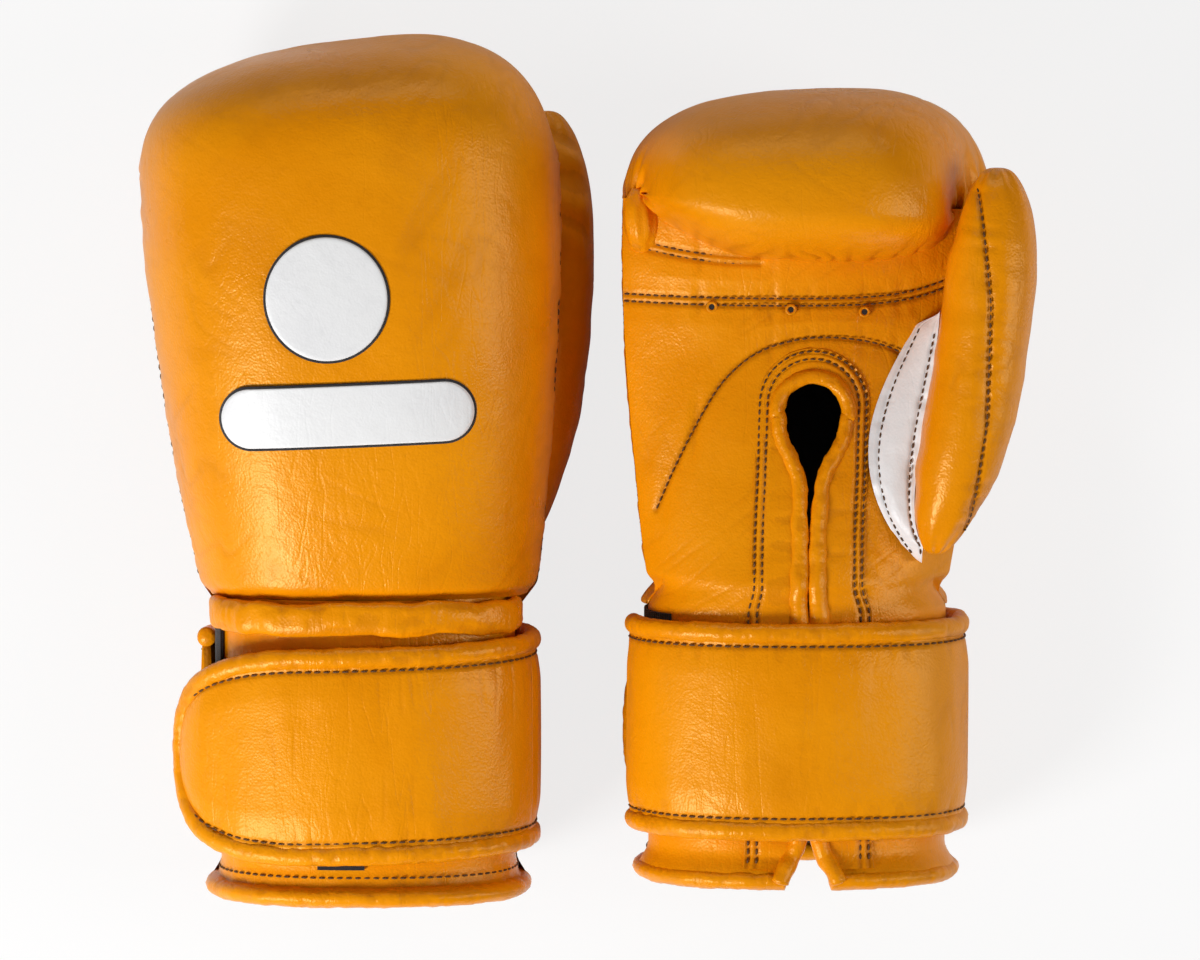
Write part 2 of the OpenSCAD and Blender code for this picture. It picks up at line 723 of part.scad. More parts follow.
module strap_palm_run() {
    color(AMBER)
    strap_run(pinky_angle, 360 + angle_back(hinge_angle, hinge_gap_sheet), 20, 1000, false);
}
module strap_palm_edging() {
    color(AMBER)
    edging(pinky_angle, 360 + angle_back(hinge_angle, hinge_gap_edge), 18, false);
}
module strap_side_run() {
    color(AMBER)
    strap_run(hinge_angle, angle_back(curl_angle, hinge_gap_sheet), 9, 1000, true);
}
module strap_side_edging() {
    color(AMBER)
    edging(hinge_angle, angle_back(curl_angle, hinge_gap_edge), 9, true);
}
sheet_end = end_angle - 6;
module strap_end() {
    color(AMBER)
    strap_run(curl_angle, sheet_end, 16, sheet_end, true);
}
module strap_end_edging() {
    function half_path(s) = concat(
        [for (a = [curl_angle, 80, 92, 104]) [a, s * edge_half]],
        [for (i = [0:7]) let (q = 90 * i / 8)
            [mix(round_angle, end_angle, sin(q)), s * edge_half * cos(q)]]
    );
    low = half_path(-1);
    high = half_path(1);
    flat = concat(low, [[end_angle, 0]], [for (i = [len(high) - 1:-1:0]) high[i]]);
    path = [for (f = flat) let (p = strap_pt(f[0], 0)) [p[0], strap_my(f[0]) + f[1], p[1]]];
    color(AMBER) {
        loft([for (i = [0:len(path) - 1])
            let (
                dir = unit(path[min(i + 1, len(path) - 1)] - path[max(i - 1, 0)]),
                n2 = strap_normal(flat[i][0]),
                out = [n2[0], 0, n2[1]],
                across = unit(cross(dir, out))
            )
            [for (j = [0:7]) let (q = 45 * j) path[i] + edge_r * (cos(q) * across + sin(q) * cross(across, dir))]]);
        for (p = [path[0], path[len(path) - 1]]) translate(p) sphere(edge_r * 0.98, $fn = 16);
    }
}

module strap_anchor() {
    color(BLACK)
    arc_band(160, 216, 8, gap, gap + hook_t, function(a) strap_y + 4, function(a) strap_y1 + 2);
}
module loop_panel() {
    color(BLACK)
    arc_band(
        76, 157, 10, gap, gap + hook_t,
        function(a) strap_my(a) - strap_w / 2 + 9, function(a) strap_my(a) + strap_w / 2 - 9
    );
}
module hook_patch() {
    inset = edge_r * 2 + 3;
    color(BLACK)
    loft([
        for (i = [0:10])
        let (
            a = mix(80, 146, i / 10),
            half = (strap_w / 2 - inset) * end_share(a, sheet_end),
            n = strap_normal(a),
            m = strap_pt(a, 0) - n * (strap_t / 2 + gap + hook_t / 2)
        )
        sheet_ring(m, n, strap_my(a), half, hook_t / 2)
    ]);
}

// ---- Patches ---------------------------------------------------------------------------------

patch_lift = 0.6;
// Rows of a patch: outline(q) gives its half width and its distance from its middle at an angle q
function patch_rows(cx, cy, outline, rows, d, side) = [
    for (i = [0:rows])
    let (s = outline(180 * (i + 0.25) / (rows + 0.5)))
    [for (j = [0:6])
        let (x = cx + s[0] * mix(1, -1, j / 6), y = cy + s[1])
        lean([x, y, back_z(x, y) + patch_lift + d], side)]
];
disc_x = -7;
disc_y = pivot_y - 41;
bar_x = -2;
bar_y = disc_y - disc_r - 19;
function disc_rows(d, side) =
    patch_rows(disc_x, disc_y, function(q) [disc_r * sin(q), -disc_r * cos(q)], 8, d, side);
function bar_rows(d, side) = patch_rows(
    bar_x, bar_y,
    function(q) [bar_len / 2 - bar_h / 2 * (1 - sin(q)), -bar_h / 2 * cos(q)], 6, d, side
);
module back_patches(side) {
    color(WHITE) {
        slab(disc_rows(patch_t, side), disc_rows(0, side));
        slab(bar_rows(patch_t, side), bar_rows(0, side));
    }
}
module size_tab() {
    color(BLACK)
    arc_band(90, 104, 3, gap, gap + patch_t, function(a) flare_top + gap, function(a) flare_top + gap + 2.2);
}

// ---- Laying the pair down --------------------------------------------------------------------

// Each glove tips until its strap's lower edge and the lowest point of its hand both touch
strap_low = cuff_b + strap_mid_d + edge_r;
function foot_y(a) = strap_my(a) - edge_half;
function flat_points(rows) = [for (r = rows) each r];
left_skin = flat_points(skin_grid(wrist_y + gap, CURL_END, 0, -1));
right_skin = flat_points(skin_grid(wrist_y + gap, CURL_END, 0, 1));
left_thumb = flat_points([for (u = thumb_us(0.002, 0.998)) thumb_ring(u, 0, THUMB_SIDES, -1)]);
right_thumb = let ($thumb_out = right_thumb_out)
    flat_points([for (u = thumb_us(0.002, 0.998)) thumb_ring(u, 0, THUMB_SIDES, 1)]);
right_patches = flat_points(concat(disc_rows(patch_t, 1), bar_rows(patch_t, 1)));
function tilt_over(points, down, foot) = max([
    for (p = points) if (p[1] > wrist_y + 10) atan((down * p[2] - strap_low) / (p[1] - foot))
]);
left_foot = foot_y(270);
right_foot = foot_y(90);
left_tilt = tilt_over(concat(left_skin, left_thumb), -1, left_foot);
right_tilt = tilt_over(concat(right_skin, right_patches), 1, right_foot);
function rest_height(tilt, foot) = strap_low * cos(tilt) - foot * sin(tilt);
// Middle of the pair, so that the origin lies below the middle of its box
strap_side = cuff_a + strap_mid_d + edge_r;
little_side = min(concat([-strap_side - left_overhang], [for (p = left_skin) p[0]]));
thumb_side = max([for (p = right_thumb) p[0]]);
pair_x0 = (pair_pitch + thumb_side + little_side) / 2;
left_front = max([for (p = left_skin) p[1] * cos(left_tilt) - p[2] * sin(left_tilt)]);
right_front = max([for (p = right_skin) p[1] * cos(right_tilt) + p[2] * sin(right_tilt)]);
left_back = -cuff_b * sin(left_tilt);
pair_y0 = (max(left_front, pair_shift + right_front) + left_back) / 2;

module left() {
    $overhang = left_overhang;
    translate([-pair_x0, -pair_y0, rest_height(left_tilt, left_foot)])
    rotate([left_tilt, 0, 0])
    children();
}
module right() {
    $overhang = right_overhang;
    $thumb_out = right_thumb_out;
    translate([pair_pitch - pair_x0, pair_shift - pair_y0, rest_height(right_tilt, right_foot)])
    rotate([right_tilt, 0, 0])
    mirror([0, 0, 1])
    children();
}

left() main_shell(-1);  // left_main_shell
left() knuckle_foam(-1);  // left_knuckle_foam
left() back_lining(-1);  // left_back_lining
left() palm_lining(-1);  // left_palm_lining
left() palm_pad(-1);  // left_palm_pad
left() palm_panel(-1);  // left_palm_panel
left() finger_band(-1);  // left_finger_band
left() grip_bar(-1);  // left_grip_bar
left() keyhole_panel(-1);  // left_keyhole_panel
left() keyhole_binding(-1);  // left_keyhole_binding
left() thumb_shell(-1);  // left_thumb_shell
left() thumb_foam(-1);  // left_thumb_foam
left() thumb_gusset(-1);  // left_thumb_gusset
left() thumb_lock(-1);  // left_thumb_lock
left() wrist_band();  // left_wrist_band
left() cuff_shell();  // left_cuff_shell
left() cuff_foam();  // left_cuff_foam
left() cuff_lining();  // left_cuff_lining
left() cuff_hem();  // left_cuff_hem
left() strap_anchor();  // left_strap_anchor
left() loop_panel();  // left_loop_panel
left() strap_palm_run();  // left_strap_palm_run
left() strap_palm_edging();  // left_strap_palm_edging
left() strap_side_run();  // left_strap_side_run
left() strap_side_edging();  // left_strap_side_edging
left() strap_end();  // left_strap_end
left() strap_end_edging();  // left_strap_end_edging
left() hook_patch();  // left_hook_patch
left() back_patches(-1);  // left_back_patches
left() size_tab();  // left_size_tab
right() main_shell(1);  // right_main_shell
right() knuckle_foam(1);  // right_knuckle_foam
right() back_lining(1);  // right_back_lining
right() palm_lining(1);  // right_palm_lining
right() palm_pad(1);  // right_palm_pad
right() palm_panel(1);  // right_palm_panel
right() finger_band(1);  // right_finger_band
right() grip_bar(1);  // right_grip_bar
right() keyhole_panel(1);  // right_keyhole_panel
right() keyhole_binding(1);  // right_keyhole_binding
right() thumb_shell(1);  // right_thumb_shell
right() thumb_foam(1);  // right_thumb_foam
right() thumb_gusset(1);  // right_thumb_gusset
right() thumb_lock(1);  // right_thumb_lock
right() wrist_band();  // right_wrist_band
right() cuff_shell();  // right_cuff_shell
right() cuff_foam();  // right_cuff_foam
right() cuff_lining();  // right_cuff_lining
right() cuff_hem();  // right_cuff_hem
right() strap_anchor();  // right_strap_anchor
right() loop_panel();  // right_loop_panel
right() strap_palm_run();  // right_strap_palm_run
right() strap_palm_edging();  // right_strap_palm_edging
right() strap_side_run();  // right_strap_side_run
right() strap_side_edging();  // right_strap_side_edging
right() strap_end();  // right_strap_end
right() strap_end_edging();  // right_strap_end_edging
right() hook_patch();  // right_hook_patch
right() back_patches(1);  // right_back_patches
right() size_tab();  // right_size_tab
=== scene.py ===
# %% [markdown]
# # A pair of leather boxing gloves
#
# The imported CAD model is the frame: it fixes every size, place and joint. This script dresses it.
# Each leather piece is a surface worked out from the same few sizes as the solid that it stands for,
# then creased, gathered and stitched. The left glove lies palm down and the right one palm up.

import json
import math

import bpy
import numpy as np
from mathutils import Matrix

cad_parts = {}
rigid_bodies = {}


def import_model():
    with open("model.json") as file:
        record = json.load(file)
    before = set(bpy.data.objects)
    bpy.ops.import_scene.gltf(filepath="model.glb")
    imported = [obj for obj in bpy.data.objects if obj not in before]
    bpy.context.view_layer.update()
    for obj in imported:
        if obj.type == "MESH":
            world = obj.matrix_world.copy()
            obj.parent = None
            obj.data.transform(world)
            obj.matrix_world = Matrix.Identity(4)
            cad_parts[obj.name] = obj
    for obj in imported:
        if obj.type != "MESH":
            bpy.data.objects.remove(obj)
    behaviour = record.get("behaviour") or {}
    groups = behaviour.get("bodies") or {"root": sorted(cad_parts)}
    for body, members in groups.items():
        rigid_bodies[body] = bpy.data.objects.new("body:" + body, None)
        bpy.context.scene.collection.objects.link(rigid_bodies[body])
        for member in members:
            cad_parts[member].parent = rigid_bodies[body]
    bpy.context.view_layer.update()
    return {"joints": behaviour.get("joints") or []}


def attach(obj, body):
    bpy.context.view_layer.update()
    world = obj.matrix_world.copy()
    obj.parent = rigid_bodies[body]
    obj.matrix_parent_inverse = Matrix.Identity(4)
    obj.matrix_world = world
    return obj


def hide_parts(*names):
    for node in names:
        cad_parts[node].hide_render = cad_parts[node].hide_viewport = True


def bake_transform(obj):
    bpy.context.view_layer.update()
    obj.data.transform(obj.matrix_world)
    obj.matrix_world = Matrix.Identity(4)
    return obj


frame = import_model()

# %% [markdown]
# ## Sizes
#
# Millimetres, in a glove's own frame: x to the thumb, y from the cuff's hem to the knuckles, z to the
# back of the hand. They repeat the driving sizes of the CAD source, which this script can't read.

# %% Driving sizes
GLOVE_LEN, HAND_W, WRIST_W, BACK_H = 300.0, 149.0, 120.0, 72.0
FRONT_D, ROLL_D, ROLL_BACK = 46.0, 54.0, 22.0
ROLL_W, ROLL_SHIFT, KNUCKLE_SLANT = 122.0, 5.5, 5.5
WRIST_Y, PIVOT_Y, SEAM_Z = 107.0, 254.0, -12.0
CUFF_A, CUFF_B, CUFF_N, HEM_FLARE = 53.0, 37.0, 2.4, 4.0
BELLY, BAND_SEAM_Y = 14.0, 219.0
KEY_X, KEY_Y, KEY_R, SLIT_W, SLIT_FLARE = 3.0, 174.0, 11.5, 3.0, 6.0
BIND_R, KEY_PANEL_R = 2.8, 22.6
STRAP_W, STRAP_Y, STRAP_T, EDGE_R, STRAP_SLANT = 76.0, 18.0, 4.0, 3.2, 4.0
GAP, HOOK_T, HEM_R, BAND_T, BAND_W = 0.3, 1.2, 3.2, 5.5, 10.5
THUMB_Y, THUMB_LEN, THUMB_R, THUMB_DROP, THUMB_SKEW = 120.0, 152.0, 17.8, 40.0, 1.08
THUMB_ROOT_X, THUMB_SWEEP, THUMB_SLOPE, THUMB_DEPTH = 53.0, 16.5, 5.0, 1.1

# %% Sizes that differ between the gloves
LEAN = {"left": -8.0, "right": 6.0}
REACH = {"left": 1.02, "right": 0.9}
SPREAD = {"left": 1.0, "right": 0.89}
OVERHANG = {"left": 9.0, "right": 2.0}
THUMB_OUT = {"left": 0.0, "right": 2.0}
SIDES = ("left", "right")

# %% [markdown]
# ## Small tools
#
# `smooth` and `mix` shape almost everything here. `noise` gives the same soft random field on each
# run: a value at each point of a lattice, blended between them.

# %% Blending and noise
def mix(a, b, t):
    return a + (b - a) * t


def smooth(t):
    t = np.clip(t, 0.0, 1.0)
    return t * t * (3 - 2 * t)


def spow(v, e):
    return np.sign(v) * np.abs(v) ** e


def bump(d, width):
    """1 at d = 0, falling off as a bell with the given half width."""
    return np.exp(-((d / width) ** 2))


def noise(P, size, seed=0):
    """Soft noise from -1 to 1: lattice values, size apart, blended smoothly between neighbours."""
    Q = np.asarray(P, float) / size
    cell = np.floor(Q).astype(np.int64)
    f = Q - cell
    f = f * f * (3 - 2 * f)
    total = 0.0
    for corner in np.ndindex(2, 2, 2):
        k = cell + corner
        n = k[..., 0] * 73856093 ^ k[..., 1] * 19349663 ^ k[..., 2] * 83492791 ^ (seed + 7) * 2654435
        n = (n ^ (n >> 13)) * 1274126177 & 0x7FFFFFFF
        n = (n ^ (n >> 15)) * 951274213 & 0x7FFFFFFF
        weight = np.prod(np.where(corner, f, 1 - f), axis=-1)
        total = total + weight * (n / 0x3FFFFFFF - 1)
    return total


def wrinkles(P, size, stretch, turn, seed, sharp=0.16):
    """Thin lines that run one way, turn degrees from the y axis: noise drawn out by stretch, 1 where
    it passes through nought, and kept only in patches."""
    c, s = math.cos(math.radians(turn)), math.sin(math.radians(turn))
    x, y = c * P[..., 0] + s * P[..., 1], -s * P[..., 0] + c * P[..., 1]
    Q = np.stack([x, y / stretch, P[..., 2]], -1)
    return bump(noise(Q, size, seed), sharp) * smooth(1.6 * noise(P, 3.2 * size, seed + 50) + 0.1)


# %% [markdown]
# ## Where each glove lies
#
# The strap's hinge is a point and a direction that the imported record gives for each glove. From them
# come the glove's tilt and place, so nothing is fitted by eye. `lay` also sets the hand's length,
# width and sideways bend, as the CAD source does, and turns the right glove palm up.

# %% From a glove's own frame to the shared frame
STRAP_D = GAP + 2 * HOOK_T + 2 * GAP + STRAP_T / 2
STRAP_MID = STRAP_Y + STRAP_W / 2
hinges = {j["name"]: j for j in frame["joints"]}


def lay(P, side):
    """Points of a glove's own frame, in millimetres, as points of the shared frame, in metres."""
    P = np.asarray(P, float)
    x, y, z = P[..., 0], P[..., 1], P[..., 2]
    y = y + np.maximum(0, y - WRIST_Y) * (REACH[side] - 1)
    x = x * mix(1, SPREAD[side], smooth((y - WRIST_Y + BAND_W) / BAND_W))
    rate = LEAN[side] / (GLOVE_LEN - WRIST_Y)
    t = smooth((y - WRIST_Y) / 40)
    x, y = x + rate * np.maximum(0, y - WRIST_Y) * t, y - rate * x * t
    z = z if side == "left" else -z
    hinge = hinges[side + "_strap_swing"]
    along = np.array(hinge["axis"], float) * (1 if side == "left" else -1)
    up = np.array([0.0, -along[2], along[1]])
    start = np.array(hinge["pos_m"]) * 1000 - (CUFF_A + STRAP_D) * np.array([1.0, 0, 0]) - STRAP_MID * along
    return (start + x[..., None] * np.array([1.0, 0, 0]) + y[..., None] * along + z[..., None] * up) / 1000


for side in SIDES:
    print(side, "cuff's hem is centred at", np.round(lay([0, 0, 0], side), 4).tolist())

# %% [markdown]
# ## Meshes from arrays
#
# Every new surface is a grid of points with rows and columns. `put_grid` turns one into a mesh with
# a UV map in millimetres and one attribute, the painted shade of folds and grooves, that its material may read.

# %% Grid meshes
def put_mesh(name, verts, faces, painted_shade=None, uv=None):
    """Mesh object from an array of points and one array of faces with equal corners."""
    mesh = bpy.data.meshes.new(name)
    mesh.vertices.add(len(verts))
    mesh.vertices.foreach_set("co", np.ascontiguousarray(verts, np.float32).ravel())
    faces = np.ascontiguousarray(faces, np.int32)
    mesh.loops.add(faces.size)
    mesh.loops.foreach_set("vertex_index", faces.ravel())
    mesh.polygons.add(len(faces))
    mesh.polygons.foreach_set("loop_start", np.arange(0, faces.size, faces.shape[1], dtype=np.int32))
    mesh.update(calc_edges=True)
    mesh.shade_smooth()
    # the per-point attribute is painted shade: how far the material darkens that point
    if painted_shade is not None:
        mesh.attributes.new("painted_shade", "FLOAT", "POINT").data.foreach_set("value", np.ravel(painted_shade).astype(np.float32))
    if uv is not None:
        layer = mesh.uv_layers.new(name="UVMap")
        layer.data.foreach_set("uv", np.ravel(uv.reshape(-1, 2)[faces.ravel()]).astype(np.float32))
    obj = bpy.data.objects.new(name, mesh)
    bpy.context.scene.collection.objects.link(obj)
    return obj


def grid_faces(rows, cols, wrap):
    """Corner numbers of the quads between the rows and columns, the last column joined to the first if wrap."""
    r = np.arange(rows - 1)[:, None] * cols
    c = np.arange(cols if wrap else cols - 1)[None, :]
    d = (c + 1) % cols
    return np.stack([r + c, r + d, r + d + cols, r + c + cols], -1).reshape(-1, 4)


def arc_length(P, axis):
    """Distance along the grid's rows (axis 0) or columns (axis 1), from its first line."""
    step = np.linalg.norm(np.diff(P, axis=axis), axis=-1)
    first = np.zeros_like(np.take(step, [0], axis=axis))
    return np.concatenate([first, np.cumsum(step, axis=axis)], axis=axis)


def put_grid(name, P, side, wrap=False, painted_shade=None, keep=None):
    """Mesh of a grid given in a glove's own frame. Rows by columns turn outwards on the left glove.
    keep, if given, says which quads stay."""
    rows, cols = P.shape[:2]
    faces = grid_faces(rows, cols, wrap)
    if keep is not None:
        faces = faces[keep.ravel()]
    if side == "right":
        faces = faces[:, ::-1]
    uv = np.stack([arc_length(P, 0), arc_length(P, 1)], -1) / 1000
    return put_mesh(name, lay(P, side).reshape(-1, 3), faces, painted_shade, uv)


def normals(P, wrap=False):
    """Unit normals of a grid: the cross product of its two directions."""
    du = np.gradient(P, axis=0)
    dv = (np.roll(P, -1, 1) - np.roll(P, 1, 1)) / 2 if wrap else np.gradient(P, axis=1)
    n = np.cross(du, dv)
    return n / np.maximum(np.linalg.norm(n, axis=-1, keepdims=True), 1e-9)


pieces = {}


def own(obj, side, body, stands_for=(), material=None):
    """Rides the piece on its body, hides the CAD nodes that it stands for, gives it its material and counts its faces.
    """
    if body is not None:
        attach(obj, f"{side}_{body}")
    if stands_for:
        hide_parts(*[f"{side}_{n}" for n in stands_for])
    if material is not None:
        obj.data.materials.clear()
        obj.data.materials.append(material)
    pieces[obj.name] = len(obj.data.polygons)
    return obj


# %% [markdown]
# ## Materials
#
# Each material is a node graph on Object coordinates, in metres, with no image. Leather has three
# scales of relief: pores under a millimetre, a net of fine creases, and soft waves. Its colour is
# mottled, and painted shade darkens it in the folds, grooves and crevices that its shade attribute gives.

# %% A small way to wire nodes
class Graph:
    """Wires shader nodes: g.add("ShaderNodeX", prop=value, Input=value or another node's socket)."""

    def __init__(self, name):
        self.material = bpy.data.materials.new(name)
        self.material.use_nodes = True
        self.tree = self.material.node_tree
        self.tree.nodes.clear()

    def add(self, kind, props=None, **inputs):
        node = self.tree.nodes.new(kind)
        for key, value in (props or {}).items():
            setattr(node, key, value)
        for key, value in inputs.items():
            socket = node.inputs[int(key[1:])] if key[0] == "_" else node.inputs[key.replace("_", " ")]
            if isinstance(value, bpy.types.NodeSocket):
                self.tree.links.new(value, socket)
            else:
                socket.default_value = value
        return node

    def math(self, op, a, b=0.0):
        return self.add("ShaderNodeMath", {"operation": op}, _0=a, _1=b).outputs[0]

    def ramp(self, value, low, high, to_low=0.0, to_high=1.0):
        return self.add(
            "ShaderNodeMapRange", {"interpolation_type": "SMOOTHSTEP"},
            Value=value, From_Min=low, From_Max=high, To_Min=to_low, To_Max=to_high,
        ).outputs[0]

    def blend(self, factor, a, b):
        node = self.add("ShaderNodeMix", {"data_type": "RGBA"}, _0=factor)
        for socket, value in ((node.inputs[6], a), (node.inputs[7], b)):
            if isinstance(value, bpy.types.NodeSocket):
                self.tree.links.new(value, socket)
            else:
                socket.default_value = (*value, 1.0)
        return node.outputs[2]

    def noise(self, where, scale, detail=3.0, rough=0.5, warp=0.0):
        return self.add(
            "ShaderNodeTexNoise", Vector=where, Scale=scale, Detail=detail, Roughness=rough, Distortion=warp,
        ).outputs[0]

    def relief(self, height, strength, distance, below=None):
        inputs = {"Height": height, "Strength": strength, "Distance": distance}
        if below is not None:
            inputs["Normal"] = below
        return self.add("ShaderNodeBump", None, **inputs).outputs[0]

    def finish(self, **inputs):
        shader = self.add("ShaderNodeBsdfPrincipled", None, **inputs)
        self.tree.links.new(shader.outputs[0], self.add("ShaderNodeOutputMaterial").inputs[0])
        return self.material


# %% Leather
def leather(name, deep, main, pale, rough=0.31, grain=1.0, gleam=(1.0, 0.74, 0.34), level=0.45):
    """Glazed leather in three tones of one colour, each linear RGB; deep also colours the painted shade in folds and
    grooves. gleam tints its reflections.
    """
    g = Graph(name)
    where = g.add("ShaderNodeTexCoord").outputs["Object"]
    painted_shade = g.add("ShaderNodeAttribute", {"attribute_name": "painted_shade"}).outputs["Fac"]
    clouds = g.noise(where, 14.0, 4.0, 0.55, 0.6)
    specks = g.noise(where, 260.0, 5.0, 0.65)
    pores = g.add("ShaderNodeTexVoronoi", {"feature": "SMOOTH_F1"}, Vector=where, Scale=1100.0, Smoothness=0.4)
    net = g.add(
        "ShaderNodeTexVoronoi", {"feature": "DISTANCE_TO_EDGE"},
        Vector=g.add("ShaderNodeVectorMath", {"operation": "ADD"}, _0=where, _1=g.add(
            "ShaderNodeVectorMath", {"operation": "SCALE"},
            _0=g.add("ShaderNodeTexNoise", Vector=where, Scale=120.0, Detail=3.0).outputs["Color"], Scale=0.006,
        ).outputs[0]).outputs[0],
        Scale=190.0,
    )
    lines = g.ramp(net.outputs[0], 0.0, 0.09)
    patchy = g.ramp(g.noise(where, 26.0, 3.0, 0.5), 0.42, 0.68)
    colour = g.blend(g.ramp(clouds, 0.30, 0.72), main, pale)
    colour = g.blend(g.math("MULTIPLY", g.ramp(specks, 0.45, 0.75), 0.08), colour, deep)
    creases = None
    for turn, size in ((0.5, 95.0), (-0.9, 80.0), (1.5, 120.0)):
        drawn = g.add("ShaderNodeMapping", Vector=where, Rotation=(0.0, 0.0, turn), Scale=(1.0, 0.16, 0.6)).outputs[0]
        off = g.math("ABSOLUTE", g.math("SUBTRACT", g.noise(drawn, size, 2.0, 0.5, 0.5), 0.5))
        line = g.math("MULTIPLY", g.ramp(off, 0.0, 0.035, 1.0, 0.0), g.ramp(g.noise(drawn, size * 0.23, 1.0), 0.50, 0.66))
        creases = line if creases is None else g.math("MAXIMUM", creases, line)
    # painted shade: where the shade attribute is high, in folds, grooves and crevices, the colour is darkened towards
    # deep
    colour = g.blend(g.math("MULTIPLY", painted_shade, 0.75), colour, deep)
    shine = g.math("ADD", g.ramp(clouds, 0.3, 0.7, rough - 0.05, rough + 0.07), g.math("MULTIPLY", painted_shade, 0.15))
    fine = g.relief(pores.outputs[0], 0.22 * grain, 0.0004)
    fine = g.relief(specks, 0.16 * grain, 0.0008, fine)
    fine = g.relief(g.math("MAXIMUM", lines, g.math("SUBTRACT", 1.0, patchy)), 0.09 * grain, 0.0006, fine)
    fine = g.relief(g.noise(where, 70.0, 4.0, 0.55, 0.8), 0.22, 0.0016, fine)
    fine = g.relief(g.math("SUBTRACT", 1.0, creases), 0.16 * grain, 0.0006, fine)
    return g.finish(
        Base_Color=colour, Roughness=shine, Normal=fine, Specular_Tint=(*gleam, 1.0),
        Specular_IOR_Level=level,
    )


AMBER = leather("amber_leather", (0.36, 0.095, 0.0004), (0.80, 0.262, 0.0004), (0.86, 0.302, 0.0006))
WHITE = leather("white_leather", (0.42, 0.42, 0.43), (0.80, 0.80, 0.81), (0.86, 0.86, 0.86), 0.42, 0.5, (1.0, 1.0, 1.0), 0.4)


# %% Thread, fabric and lining
def fabric(name, colour, rough, weave, sheen=0.3):
    """Woven black cloth: two crossed waves for the weave, with fuzz."""
    g = Graph(name)
    where = g.add("ShaderNodeTexCoord").outputs["Object"]
    fuzz = g.noise(where, weave * 1.4, 4.0, 0.7)
    bands = g.add("ShaderNodeTexWave", {"bands_direction": "X"}, Vector=where, Scale=weave, Distortion=1.5).outputs[0]
    threads = g.add("ShaderNodeTexWave", {"bands_direction": "Y"}, Vector=where, Scale=weave, Distortion=1.5).outputs[0]
    height = g.math("ADD", g.math("MAXIMUM", bands, threads), fuzz)
    tone = g.blend(fuzz, tuple(c * 0.6 for c in colour), tuple(c * 1.5 for c in colour))
    return g.finish(
        Base_Color=tone, Roughness=rough, Normal=g.relief(height, 0.5, 0.0006), Sheen_Weight=sheen,
    )


LOOP = fabric("loop_fabric", (0.008, 0.008, 0.009), 0.95, 420.0, 0.12)
LINING = fabric("lining", (0.006, 0.006, 0.008), 0.6, 900.0, 0.15)
FOAM = fabric("foam", (0.60, 0.58, 0.52), 0.95, 300.0, 0.0)


def thread(name, colour):
    """Twisted sewing thread: fine slanted ridges, with painted shade in the grooves between them."""
    g = Graph(name)
    where = g.add("ShaderNodeTexCoord").outputs["Object"]
    ply = g.add("ShaderNodeTexWave", {"bands_direction": "DIAGONAL"}, Vector=where, Scale=900.0).outputs[0]
    # painted shade: the colour is darker in the grooves between the ridges
    tone = g.blend(ply, tuple(c * 0.6 for c in colour), colour)
    return g.finish(Base_Color=tone, Roughness=0.6, Normal=g.relief(ply, 0.4, 0.0002))


THREAD = thread("dark_thread", (0.13, 0.05, 0.006))
GREY_THREAD = thread("grey_thread", (0.20, 0.20, 0.20))

# %% [markdown]
# ## The hand's form
#
# Seen from the side, the back of the hand rises from the wrist, then turns about a line across the
# fist, the pivot, down to the finger roll and back under it. Across, each station is a rounded
# section. These are the CAD's own formulas, drawn with an even step round each section.

# %% Stations of the hand
def along(y):
    return np.clip((y - WRIST_Y) / (PIVOT_Y - WRIST_Y), 0, 1)


def half_w(y):
    return mix(WRIST_W, HAND_W, np.sin(np.pi / 2 * along(y))) / 2


def rise(y):
    return mix(CUFF_B + 1 - SEAM_Z, BACK_H, np.sin(np.pi / 2 * along(y)) ** 0.9)


def oval_r(a, b, n, q):
    """Radius of a superellipse with half axes a and b in the direction q."""
    return ((np.abs(np.cos(q)) / a) ** n + (np.abs(np.sin(q)) / b) ** n) ** (-1 / n)


def curl_r(q):
    """Outline of the fist seen from the side, round the pivot: front, roll, and the roll's hind side."""
    front = oval_r(FRONT_D, BACK_H, 2.8, q)
    roll = oval_r(FRONT_D, ROLL_D, 2.2, q)
    hind = oval_r(ROLL_BACK, ROLL_D, 2.0, q)
    return np.where(q >= 0, front, np.where(q >= -np.pi / 2, roll, hind))


def skin(s, v):
    """Shell surface. s is 0 at the wrist, 1 above the pivot and 2 where the roll ends; v goes across
    from the thumb, 0, to the little finger, pi. Gives the points, the station's direction and the
    distance from the side seam or pivot line."""
    y0 = np.where(s < 1, mix(WRIST_Y, PIVOT_Y, s), PIVOT_Y)
    q = np.where(s < 1, np.pi / 2, mix(np.pi / 2, np.radians(-158.0), s - 1))
    share = np.where(s < 1, 0, (1 - np.sin(np.maximum(q, -np.pi / 2))) / 2)
    hand = half_w(y0)
    thumb_w = mix(hand, ROLL_W / 2 - ROLL_SHIFT, share)
    little_w = mix(hand, ROLL_W / 2 + ROLL_SHIFT, share)
    top = np.where(s < 1, rise(y0), curl_r(q))
    low = 1.5 * smooth((np.pi / 2 - q) / np.radians(40))
    rho = (np.abs(np.cos(v)) ** 2.8 + np.abs(np.sin(v)) ** 2.8) ** (-1 / 2.8)
    x = np.where(np.cos(v) >= 0, thumb_w, little_w) * rho * np.cos(v)
    r = low + (top - low) * rho * np.abs(np.sin(v))
    ahead = KNUCKLE_SLANT * 2 * x / HAND_W * np.maximum(0, np.cos(q)) * r / FRONT_D
    P = np.stack([x, y0 + r * np.cos(q) + ahead, SEAM_Z + r * np.sin(q)], -1)
    return P, q, r


# %% [markdown]
# ## Back, fist and roll
#
# One cut of leather covers the back of the hand, the knuckles and the finger roll. On the real glove
# it is pulled over the padding and gathered where it is sewn, so the relief is of three kinds:
# gathers that run away from the side seams, folds that meet at the pit on each end of the roll, and
# pleats along the roll's hind edge. Long soft creases cross the back.

